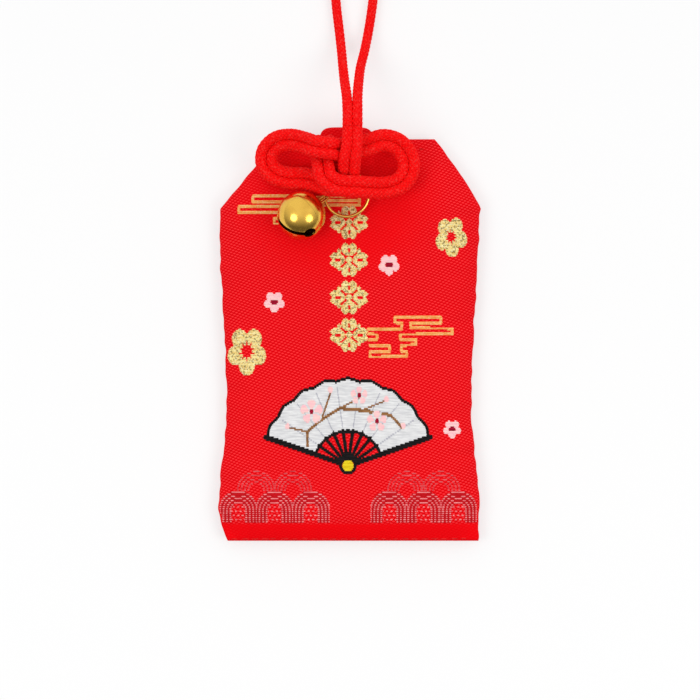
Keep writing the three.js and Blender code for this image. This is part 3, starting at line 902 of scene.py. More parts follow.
@dataclass
class PouchForm:
    """The pouch's outline and the heights of its two faces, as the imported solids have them."""

    # Outline, from the bottom fold up to the hem and the hump of cloth behind the cord
    length: float = 80.4
    hump_height: float = 2.4
    hump_width: float = 10.8
    hump_squareness: float = 6.0
    hump_root: float = 6.0
    base_width: float = 52.2
    corner_rise: float = 6.4
    corner_cut: float = 1.05
    corner_lean: float = 0.75
    corner_power: float = 1.5
    waist_width: float = 49.0
    waist_rise: float = 27.0
    shoulder_width: float = 52.0
    shoulder_rise: float = 66.4
    shoulder_curve: float = 1.12
    hem_width: float = 31.0
    hem_lean: float = 1.6
    lean_rise: float = 60.0

    # Uneven side edges: waves of share, rate and start
    ripple: float = 0.07
    width_waves: tuple[Triple, ...] = ((1.0, 0.95, 0.6), (0.6, 2.1, 0.0))
    lean_waves: tuple[Triple, ...] = ((1.0, 0.62, 2.0), (0.5, 1.7, 0.0))

    # Heights: the seam, the rounded edge, the two crowns and the pinch of the cord at the neck
    seam_z: float = 2.1
    edge_round: float = 0.7
    front_crown: float = 2.2
    back_crown: float = 1.4
    crown_power: float = 2.4
    side_fall: float = 8.0
    bottom_fall: float = 7.0
    hem_fall: float = 14.0
    neck_spread: Point = (4.5, 3.2)
    front_pinch: float = 0.6
    back_pinch: float = 2.7

    # Slack: gathers along the seams, folds above the bottom, drag lines round the neck and soft hollows
    gather_depth: float = 0.26
    gather_reach: float = 2.6
    gather_rate: float = 1.18
    gather_wander: Triple = (1.1, 0.23, 1.7)
    gather_shift: float = 0.9
    fold_depth: float = 0.16
    fold_reach: float = 2.4
    fold_rate: float = 0.9
    fold_wander: Point = (0.8, 0.31)
    drag_depth: float = 0.34
    drag_ring: float = 8.0
    drag_spread: float = 60.0
    drag_lines: int = 11
    drag_wander: Point = (0.35, 0.4)
    hollow_depth: float = 0.09
    hollow_lay: Triple = (0.21, 0.13, 0.6)
    hollow_cross: Point = (0.17, 0.11)
    slack_edge: float = 1.2
    back_slack: float = 0.4

    @property
    def bottom(self) -> float:
        """Y of the bottom fold."""
        return -(self.length + self.hump_height) / 2

    def _corner(self, rise: Array) -> Array:
        """Returns the share of the draw of the bottom corners."""
        return np.clip(1 - rise / self.corner_rise, 0, 1) ** self.corner_power

    def half_width(self, rise: Array) -> Array:
        """Works out half the pouch's width.

        Args:
            rise: Heights above the bottom fold.

        Returns:
            The half widths there.
        """
        base, waist, shoulder = self.base_width / 2, self.waist_width / 2, self.shoulder_width / 2
        lower = (rise - self.corner_rise) / (self.waist_rise - self.corner_rise)
        upper = (rise - self.waist_rise) / (self.shoulder_rise - self.waist_rise)
        slope = np.clip((rise - self.shoulder_rise) / (self.length - self.shoulder_rise), 0, 1)
        corner = base - self.corner_cut * self._corner(rise)
        width = np.where(rise < self.corner_rise, corner, base + (waist - base) * smooth_step(lower))
        width = np.where(rise > self.waist_rise, waist + (shoulder - waist) * smooth_step(upper), width)
        hem = shoulder + (self.hem_width / 2 - shoulder) * slope**self.shoulder_curve
        uneven = self.ripple * ripples(rise, self.width_waves)
        return np.where(rise > self.shoulder_rise, hem, width) + uneven * (1 - slope)

    def hump(self, x: Array) -> Array:
        """Returns how far the hem stands up behind the cord."""
        across = np.clip(np.abs(x - NECK[0]) / (self.hump_width / 2), 0, 1)
        return self.hump_height * np.sqrt(1 - across**self.hump_squareness)

    def lean(self, rise: Array) -> Array:
        """Returns how far the knot, the bottom corners and the uneven sides draw the cloth to the right."""
        drawn = self.hem_lean * smooth_step((rise - self.lean_rise) / (self.length - self.lean_rise))
        return drawn + self.corner_lean * self._corner(rise) + self.ripple * ripples(rise, self.lean_waves)

    def edges(self, x: Array, rise: Array) -> tuple[Array, Array]:
        """Returns the distances to the side edge and to the hem."""
        side = self.half_width(np.minimum(rise, self.length)) - np.abs(x - self.lean(rise))
        return np.maximum(side, 0), np.maximum(self.length + self.hump(x) - rise, 0)

    def _fullness(self, x: Array, rise: Array) -> tuple[Array, Array]:
        """Works out how the pouch rounds up from its edges.

        Args:
            x: Places across.
            rise: Heights above the bottom fold.

        Returns:
            Heights of the rounded edge above the seam, and shares of the full crown.
        """
        side, hem = self.edges(x, rise)
        near = np.minimum(np.minimum(side, rise), hem) / self.edge_round
        roll = self.edge_round * np.sqrt(1 - (1 - np.clip(near, 0, 1)) ** 2)
        swell = np.ones(np.shape(x))
        for distance, reach in ((side, self.side_fall), (rise, self.bottom_fall), (hem, self.hem_fall)):
            swell = swell * (1 - (1 - np.clip(distance / reach, 0, 1)) ** self.crown_power)
        return roll, swell

    def pinch(self, x: Array, y: Array) -> Array:
        """Returns the share of the draw of the cord at the neck."""
        away = ((x - NECK[0]) / self.neck_spread[0]) ** 2 + ((y - NECK[1]) / self.neck_spread[1]) ** 2
        return np.exp(-away / 2)

    def slack(self, x: Array, y: Array) -> Array:
        """Works out how far the cloth sinks.

        Args:
            x: Places across.
            y: Places up the pouch.

        Returns:
            The depth of its gathers along the seams, the folds above the bottom, the drag lines from the neck
            and its soft hollows.
        """
        rise = y - self.bottom
        side, hem = self.edges(x, rise)
        swing, rate, start = self.gather_wander
        wander = swing * np.sin(rate * rise + np.sign(x) * start) + np.sign(x) * self.gather_shift
        gather = np.exp(-side / self.gather_reach) * (0.5 + 0.5 * np.sin(self.gather_rate * rise + wander))
        swing, rate = self.fold_wander
        wander = swing * np.sin(rate * x)
        fold = np.exp(-rise / self.fold_reach) * (0.5 + 0.5 * np.sin(self.fold_rate * x + wander))
        draw = np.hypot(x - NECK[0], y - NECK[1])
        angle = np.arctan2(y - NECK[1], x - NECK[0])
        swing, rate = self.drag_wander
        lines = 0.5 + 0.5 * np.cos(self.drag_lines * angle + swing * np.sin(rate * draw))
        drag = np.exp(-((draw - self.drag_ring) ** 2) / self.drag_spread) * lines
        (lay_x, lay_y, start), (cross_y, cross_x) = self.hollow_lay, self.hollow_cross
        hollow = 1 + np.sin(lay_x * x + lay_y * y + start) * np.sin(cross_y * y - cross_x * x)
        inner = np.clip(np.minimum(np.minimum(side, rise), hem) / self.slack_edge, 0, 1)
        sunk = self.gather_depth * gather + self.fold_depth * fold
        return (sunk + self.drag_depth * drag + self.hollow_depth * hollow) * inner

    def height(self, face: Face, x: Array, y: Array) -> Array:
        """Works out the height of one face.

        Args:
            face: The panel.
            x: Places across.
            y: Places up the pouch.

        Returns:
            Heights above the floor.
        """
        roll, swell = self._fullness(x, y - self.bottom)
        pinch = self.pinch(x, y)
        if face is Face.FRONT:
            crown = roll + self.front_crown * swell
            return self.seam_z + crown - self.front_pinch * pinch - self.slack(x, y)
        crown = roll + self.back_crown * swell
        loose = self.back_slack * self.slack(-x, y) * (1 - swell)
        return np.maximum(self.seam_z - crown + self.back_pinch * pinch + loose, 0.0)


@dataclass
class Pouch:
    """The two sewn panels and the stitching that shows on them."""

    # Sheets and the slot in them that the cord passes through
    form: PouchForm
    cloth_step: float = 0.42
    edge_steps: tuple[float, ...] = (0.0, 0.04, 0.12, 0.25, 0.42, 0.62, 0.9)
    eyelet_half: float = 1.15
    eyelet_radius: float = 1.15
    eyelet_draw: float = 0.2
    area_steps: int = 400

    # Stitches and the play in their places
    stitch_inset: float = 2.1
    stitch_length: float = 1.25
    stitch_gap: float = 0.75
    stitch_radius: float = 0.15
    stitch_points: int = 7
    stitch_sides: int = 8
    stitch_crown: float = 0.12
    stitch_sink: float = 0.08
    stitch_taper: float = 0.45
    stitch_fullness: float = 0.6
    hem_row_half: float = 13.6
    fold_row_half: float = 23.5
    front_fold_row: float = 0.5
    back_fold_row: float = 1.2
    start_play: float = 0.2
    length_play: Point = (0.8, 1.1)
    row_play: float = 0.06
    seed: int = 7

    def _graded(self, length: float) -> Array:
        """Spaces places from 0 to a length, close together at both ends.

        Args:
            length: The length.

        Returns:
            The places.
        """
        first, last = self.edge_steps[-1], length - self.edge_steps[-1]
        middle = np.linspace(first, last, max(2, round((last - first) / self.cloth_step)))
        return np.concatenate([self.edge_steps[:-1], middle, length - np.array(self.edge_steps[-2::-1])])

    def _opened(self, x: Array, y: Array) -> tuple[Array, Array, Array]:
        """Draws the cloth's grid round the eyelet slot.

        Args:
            x: Places across.
            y: Places up.

        Returns:
            The places, moved to the slot's edge where they were in it or beside it, and whether they were.
        """
        middle_x = NECK[0] + np.clip(x - NECK[0], -self.eyelet_half, self.eyelet_half)
        reach = np.maximum(np.hypot(x - middle_x, y - NECK[1]), 1e-6)
        drawn = reach < self.eyelet_radius + self.eyelet_draw
        x = np.where(drawn, middle_x + (x - middle_x) / reach * self.eyelet_radius, x)
        y = np.where(drawn, NECK[1] + (y - NECK[1]) / reach * self.eyelet_radius, y)
        return x, y, drawn

    @staticmethod
    def _laid_flat(points: Array) -> Array:
        """Works out where each point lies on the flat cloth.

        Args:
            points: The sheet's points in rows and columns.

        Returns:
            Their places, which the sheet's slopes push out from its middle.
        """
        flat = points[..., :2].copy()
        for axis in (0, 1):
            steps = np.diff(points, axis=axis, prepend=np.take(points, [0], axis=axis))
            extra = np.linalg.norm(steps, axis=-1) - np.linalg.norm(steps[..., :2], axis=-1)
            total = np.cumsum(extra, axis=axis)
            flat[..., 1 - axis] += total - np.take(total, [total.shape[axis] // 2], axis=axis)
        return flat

    def _sheet(self, face: Face) -> Piece:
        """Builds one panel as a single sheet of cloth from seam to seam, open at its eyelet.

        Args:
            face: The panel.

        Returns:
            The sheet.
        """
        form = self.form
        rises = self._graded(form.length)
        share = self._graded(form.base_width) * 2 / form.base_width - 1
        rise = np.repeat(rises[:, None], len(share), axis=1)
        x = share[None, :] * form.half_width(rises)[:, None] + form.lean(rises)[:, None]
        near_hem = smooth_step((rise - form.length + form.hump_root) / form.hump_root)
        rise = rise + form.hump(x) * near_hem
        x, y, drawn = self._opened(x, rise + form.bottom)
        points = np.stack([x, y, form.height(face, x, y)], axis=-1)
        marks = self._laid_flat(points)
        if face is Face.BACK:
            points, marks, drawn = points[:, ::-1], marks[:, ::-1], drawn[:, ::-1]
        patch = Patchwork()
        patch.grid(points, marks=marks)
        hole = np.all(Patchwork.corners(drawn), axis=0).reshape(-1)
        return patch.build(face.value + "_brocade", ~hole)

    def _stitches(self, face: Face) -> Piece:
        """Builds the running stitches below the hem and along the bottom fold.

        Args:
            face: The panel.

        Returns:
            All its stitches as one piece.
        """
        form = self.form
        patch = Patchwork()
        rng = np.random.default_rng(self.seed)
        out, fold_rise = (1, self.front_fold_row) if face is Face.FRONT else (-1, self.back_fold_row)
        crown = np.sin(np.linspace(0, math.pi, self.stitch_points)) ** self.stitch_fullness
        radius = self.stitch_radius * (1 - self.stitch_taper + self.stitch_taper * crown)[:, None]
        hem = form.hem_lean, self.hem_row_half, lambda u: form.length + form.hump(u) - self.stitch_inset
        fold = 0.0, self.fold_row_half, lambda u: fold_rise + 0 * u
        for middle, half, rise_at in (hem, fold):
            starts = middle + np.arange(-half, half, self.stitch_length + self.stitch_gap)
            for start in starts + rng.uniform(-self.start_play, self.start_play, len(starts)):
                end = start + self.stitch_length * rng.uniform(*self.length_play)
                x = np.linspace(start, end, self.stitch_points)
                y = rise_at(x) + form.bottom + rng.uniform(-self.row_play, self.row_play)
                z = form.height(face, x, y) + out * (crown * self.stitch_crown - self.stitch_sink)
                tube(patch, np.stack([x, y, z], axis=1), radius, self.stitch_sides)
        return patch.build(face.value + "_stitches")

    def build(self, cloth: Material, thread: Material) -> dict[Face, list[Piece]]:
        """Builds and dresses both panels.

        Args:
            cloth: The brocade.
            thread: The sewing thread.

        Returns:
            For each face its panel, followed by its stitches.
        """
        made = {}
        for face, node in ((Face.FRONT, "front_panel"), (Face.BACK, "back_panel")):
            panel = dress(self._sheet(face), cloth, Body.POUCH)
            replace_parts(panel, node)
            made[face] = [panel, dress(self._stitches(face), thread, Body.POUCH)]
        return made

    def _cut_area(self) -> float:
        """Returns the flat area of one panel in square metres."""
        rises = np.linspace(0, self.form.length, self.area_steps)
        hump = self.form.hump_height * self.form.hump_width
        return (float(np.mean(2 * self.form.half_width(rises))) * self.form.length + hump) * MM * MM

    def declare(self, made: dict[Face, list[Piece]]) -> None:
        """Works out the flat cut area of a panel for each face, and keeps nothing of it.

        Args:
            made: For each face its panel, followed by the pieces that are sewn or woven on it.
        """
        for face, (panel, *sewn) in made.items():
            area = self._cut_area()


# Regions of the woven design, in millimetres on the front


def disc(x: float, y: float, radius: float) -> Region:
    """Returns a round region."""
    return lambda u, v: (u - x) ** 2 + (v - y) ** 2 < radius**2


def line_distance(points: Sequence[Point], u: Array, v: Array) -> Array:
    """Works out how far places lie from a line.

    Args:
        points: The points that the line runs through.
        u: Places across.
        v: Places up.

    Returns:
        The distance of each place.
    """
    near = np.full(np.shape(u), np.inf)
    for (ax, ay), (bx, by) in zip(points, points[1:]):
        dx, dy = bx - ax, by - ay
        share = np.clip(((u - ax) * dx + (v - ay) * dy) / (dx * dx + dy * dy), 0, 1)
        near = np.minimum(near, np.hypot(u - ax - share * dx, v - ay - share * dy))
    return near


def band(points: Sequence[Point], half: float) -> Region:
    """Returns a band along a line, given by half its width."""
    return lambda u, v: line_distance(points, u, v) < half


def joined(*regions: Region) -> Region:
    """Returns the region that any of several covers."""
    return lambda u, v: np.logical_or.reduce([region(u, v) for region in regions])


def without(region: Region, *holes: Region) -> Region:
    """Returns a region with others taken out of it."""
    return lambda u, v: region(u, v) & ~joined(*holes)(u, v)


@dataclass(frozen=True)
class Blossom:
    """A five-petalled blossom as a region, whose petals, core and eye are shares of half its size."""

    x: float
    y: float
    width: float
    height: float
    slit: float = 0.0
    eye: float = 0.0
    first: float = -90.0
    petals: int = 5
    petal_reach: float = 0.6
    petal_radius: float = 0.41
    core: float = 0.5
    star: Point = (0.8, 0.5)

    def __call__(self, u: Array, v: Array) -> Array:
        """Tests places.

        Args:
            u: Places across.
            v: Places up.

        Returns:
            Whether each is on the blossom, outside its star-edged eye and the slits between its petals.
        """
        a, b = (u - self.x) * 2 / self.width, (v - self.y) * 2 / self.height
        reach = np.hypot(a, b)
        full = reach < self.core
        gaps = np.zeros(np.shape(u), dtype=bool)
        for turn in range(self.petals):
            angle = math.radians(self.first + 360 / self.petals * turn)
            x, y = self.petal_reach * math.cos(angle), self.petal_reach * math.sin(angle)
            full |= (a - x) ** 2 + (b - y) ** 2 < self.petal_radius**2
            between = angle + math.pi / self.petals
            onward = a * math.cos(between) + b * math.sin(between)
            gaps |= (onward > 0) & (np.abs(a * math.sin(between) - b * math.cos(between)) < self.slit)
        least, swing = self.star
        points = np.cos(2 * self.petals * (np.arctan2(b, a) - math.radians(self.first)))
        return full & ~gaps & (reach > self.eye * (least + swing * np.maximum(points, 0)))


@dataclass(frozen=True)
class LozengeFlower:
    """A four-petalled lozenge flower as a region, whose parts are shares of half its size."""

    y: float
    half_size: Point = (4.0, 3.55)
    petal_reach: float = 0.6
    petal_length: float = 0.4
    petal_half: Point = (0.42, 0.4)
    notch_reach: float = 0.98
    notch_depth: float = 0.16
    notch_slope: float = 0.8
    vein_half: Point = (0.06, 0.05)
    vein_ends: Point = (0.42, 0.7)
    leaf_half: float = 0.13
    leaf_ends: Point = (0.84, 1.12)
    gap_half: float = 0.07
    gap_end: float = 0.8
    heart: float = 0.22

    def __call__(self, u: Array, v: Array) -> Array:
        """Tests places.

        Args:
            u: Places across.
            v: Places up.

        Returns:
            Whether each is on a petal beside its notch, vein and gaps, on a leaf or on the heart.
        """
        a, b = np.abs(u) / self.half_size[0], np.abs(v - self.y) / self.half_size[1]
        petal, cut = (np.zeros(np.shape(u), dtype=bool) for _ in range(2))
        for out, across, half, vein in zip((a, b), (b, a), self.petal_half, self.vein_half):
            petal |= ((out - self.petal_reach) / self.petal_length) ** 2 + (across / half) ** 2 < 1
            cut |= np.abs(out - self.notch_reach) + self.notch_slope * across < self.notch_depth
            cut |= (across < vein) & (out > self.vein_ends[0]) & (out < self.vein_ends[1])
        diagonal, reach = np.abs(a - b), a + b
        cut |= (diagonal < self.gap_half) & (reach < self.gap_end)
        leaf = (diagonal < self.leaf_half) & (reach > self.leaf_ends[0]) & (reach < self.leaf_ends[1])
        return petal & ~cut | leaf | (reach < self.heart)


@dataclass(frozen=True)
class WaveScales:
    """One layer of two rows of overlapping wave scales, each a set of rings with seeds in its middle."""

    form: PouchForm
    layer: WaveLayer
    near_middles: tuple[float, ...] = (-22.1, -14.86, -7.62, 8.06, 14.9, 21.8)
    far_middles: tuple[float, ...] = (-18.5, -11.2, 11.5, 18.35)
    near_y: float = -35.2
    far_y: float = -31.2
    rings: tuple[float, ...] = (1.6, 2.3, 3.0, 3.7)
    near_half: float = 0.18
    far_half: float = 0.15
    far_drop: float = 0.3
    cover: float = 4.0
    scale_half: float = 3.75
    ground_ring: Point = (2.65, 1.35)
    seed_reach: float = 1.3
    seed_steps: Point = (0.9, 0.84)
    seed_radius: float = 0.2
    margin: float = 0.35

    def _near(self, u: Array, v: Array) -> tuple[Array, Array, Array]:
        """Tests places against the near row.

        Args:
            u: Places across.
            v: Places up.

        Returns:
            Whether each is on the row's rings and seeds, on its ground, or covered by its scales.
        """
        drawn, ground, cover = (np.zeros(np.shape(u), dtype=bool) for _ in range(3))
        wide, high = self.seed_steps
        row = np.round(v / high)
        for middle in self.near_middles:
            own = np.abs(u - middle) <= self.scale_half
            reach = np.hypot(u - middle, np.maximum(v - self.near_y, 0))
            cover |= own & (reach < self.cover)
            ground |= own & (np.abs(reach - self.ground_ring[0]) < self.ground_ring[1])
            for ring in self.rings:
                drawn |= own & (np.abs(reach - ring) < self.near_half)
            aside = (u - middle + wide / 2 * row) % wide - wide / 2
            seed = np.hypot(aside, v - high * row) < self.seed_radius
            drawn |= own & (reach < self.seed_reach) & seed
        return drawn, ground, cover

    def _far(self, u: Array, v: Array) -> Array:
        """Tests places against the rings of the far row.

        Args:
            u: Places across.
            v: Places up.

        Returns:
            Whether each is on a ring.
        """
        drawn = np.zeros(np.shape(u), dtype=bool)
        for middle in self.far_middles:
            reach = np.hypot(u - middle, v - self.far_y)
            for ring in self.rings:
                drawn |= (np.abs(reach - ring) < self.far_half) & (v > self.far_y - self.far_drop)
        return drawn

    def __call__(self, u: Array, v: Array) -> Array:
        """Tests places.

        Args:
            u: Places across.
            v: Places up.

        Returns:
            Whether each is on the layer, above the plain band and clear of the side seams.
        """
        near, ground, cover = self._near(u, v)
        shown = {WaveLayer.NEAR: near, WaveLayer.FAR: self._far(u, v) & ~cover, WaveLayer.GROUND: ground}
        side, _ = self.form.edges(u, v - self.form.bottom)
        return shown[self.layer] & (v > PLAIN_TOP) & (side > self.margin)


# Woven design


@dataclass(frozen=True)
class Motif:
    """One colour of the woven design: a region filled with weft floats."""

    name: str
    region: Region
    box: Four
    yarn: Yarn
    lift: float = 0.03
    rise: float = 0.12
    pitch: float = 0.3
    fill: float = 1.08


@dataclass(frozen=True)
class FoldingFan:
    """The woven folding fan, with a blossoming branch on its leaf. Spots on it are an angle and a reach."""

    pivot: Point = (-0.2, -26.3)
    inner: float = 6.6
    outer: float = 17.8
    half_angle: float = 71.0
    pleats: int = 9
    pleat_depth: float = 1.1
    pleat_half: float = 0.13
    pleat_ends: Point = (1.2, 1.9)
    leaf_inset: float = 0.3
    rim: float = 0.62
    rib_half: float = 0.33
    rib_start: float = 0.6
    guard_half: float = 0.5
    guard_inset: float = 0.4
    rivet: float = 1.15
    boss: float = 1.75
    branch_half: float = 0.34
    twig_half: float = 0.2
    bud: float = 0.62
    heart: float = 0.5
    petal_slit: float = 0.07
    petal_eye: float = 0.2
    margin: Triple = (18.2, 2.4, 18.6)
    branch: tuple[Point, ...] = (
        (-64, 9.0), (-50, 10.6), (-30, 10.6), (-8, 11.6), (14, 11.4), (40, 13.2), (54, 13.2),
    )
    twigs: tuple[tuple[Point, Point], ...] = (
        ((-50, 10.6), (-57, 14.0)), ((-30, 10.6), (-13, 15.2)),
        ((-8, 11.6), (9, 13.6)), ((14, 11.4), (30, 15.0)),
    )
    buds: tuple[Point, ...] = ((-57, 14.4), (-13, 15.6), (30, 15.3), (54, 13.6))
    blossoms: tuple[tuple[Point, float], ...] = (((-34, 13.0), 4.8), ((9, 14.2), 3.6), ((33, 10.6), 4.2))

    def _spot(self, angle: float, reach: float) -> Point:
        """Returns the place at an angle in degrees and a reach from the pivot."""
        lean = math.radians(angle)
        return self.pivot[0] + reach * math.sin(lean), self.pivot[1] + reach * math.cos(lean)

    def _bars(self, angles: Sequence[float], start: float, end: float, half: float) -> Region:
        """Returns straight bars out from the pivot."""
        return joined(*(band([self._spot(angle, start), self._spot(angle, end)], half) for angle in angles))

    def _on_leaf(self, inset: float, u: Array, v: Array) -> Array:
        """Tests places against the leaf with its pleated outer edge.

        Args:
            inset: How far the leaf is drawn in from its edges.
            u: Places across.
            v: Places up.

        Returns:
            Whether each is on it.
        """
        a, b = u - self.pivot[0], v - self.pivot[1]
        reach = np.hypot(a, b)
        lean = np.degrees(np.arctan2(a, b))
        fold = np.abs((lean / self.half_angle * self.pleats / 2 + 0.5) % 1.0 - 0.5)
        side = reach * np.radians(self.half_angle - np.abs(lean))
        outer = self.outer - self.pleat_depth * fold - inset
        return (reach > self.inner + inset) & (reach < outer) & (side > inset)

    def _leaf(self, inset: float) -> Region:
        """Returns the leaf, drawn in from its edges."""
        return lambda u, v: self._on_leaf(inset, u, v)

    def _branch(self) -> tuple[Region, Region, Region]:
        """Makes the blossoming branch.

        Returns:
            Its wood, its blossoms with the buds, and the blossoms' hearts.
        """
        spots = [(*self._spot(*spot), size) for spot, size in self.blossoms]
        flowers = joined(*(Blossom(x, y, w, w, self.petal_slit, self.petal_eye, 90.0) for x, y, w in spots))
        hearts = joined(*(disc(x, y, self.heart) for x, y, _ in spots))
        buds = joined(*(disc(*self._spot(*spot), self.bud) for spot in self.buds))
        limb = band([self._spot(*spot) for spot in self.branch], self.branch_half)
        twigs = [band([self._spot(*spot) for spot in twig], self.twig_half) for twig in self.twigs]
        return without(joined(limb, *twigs), flowers), joined(without(flowers, hearts), buds), hearts

    def motifs(self) -> list[Motif]:
        """Lists the fan's colours.

        Returns:
            Its motifs from the leaf up.
        """
        x, y = self.pivot
        side, below, above = self.margin
        box = (x - side, y - below, x + side, y + above)
        first, *folds, last = np.linspace(-self.half_angle, self.half_angle, self.pleats + 1)
        start, end = self.inner + self.pleat_ends[0], self.outer - self.pleat_ends[1]
        pleats = self._bars(folds, start, end, self.pleat_half)
        ribs = self._bars(folds, self.rib_start, self.inner + self.rib_start, self.rib_half)
        guards = self._bars((first, last), 0.0, self.outer - self.guard_inset, self.guard_half)
        rim = without(self._leaf(0.0), self._leaf(self.rim))
        rivet = disc(x, y, self.rivet)
        frame_parts = joined(rim, without(joined(ribs, guards, disc(x, y, self.boss)), rivet))
        wood, petals, hearts = self._branch()
        return [
            Motif("fan_leaf", self._leaf(self.leaf_inset), box, Yarn.WHITE, lift=0.02, rise=0.08),
            Motif("fan_pleats", pleats, box, Yarn.GREY, lift=0.09, rise=0.05),
            Motif("fan_branch", wood, box, Yarn.BARK, lift=0.09, rise=0.06),
            Motif("fan_blossoms", petals, box, Yarn.PINK, lift=0.1, rise=0.08),
            Motif("fan_hearts", hearts, box, Yarn.CRIMSON, lift=0.1, rise=0.08),
            Motif("fan_frame", frame_parts, box, Yarn.BLACK, lift=0.08, rise=0.1),
            Motif("fan_pivot", rivet, box, Yarn.YELLOW, lift=0.08, rise=0.12),
        ]


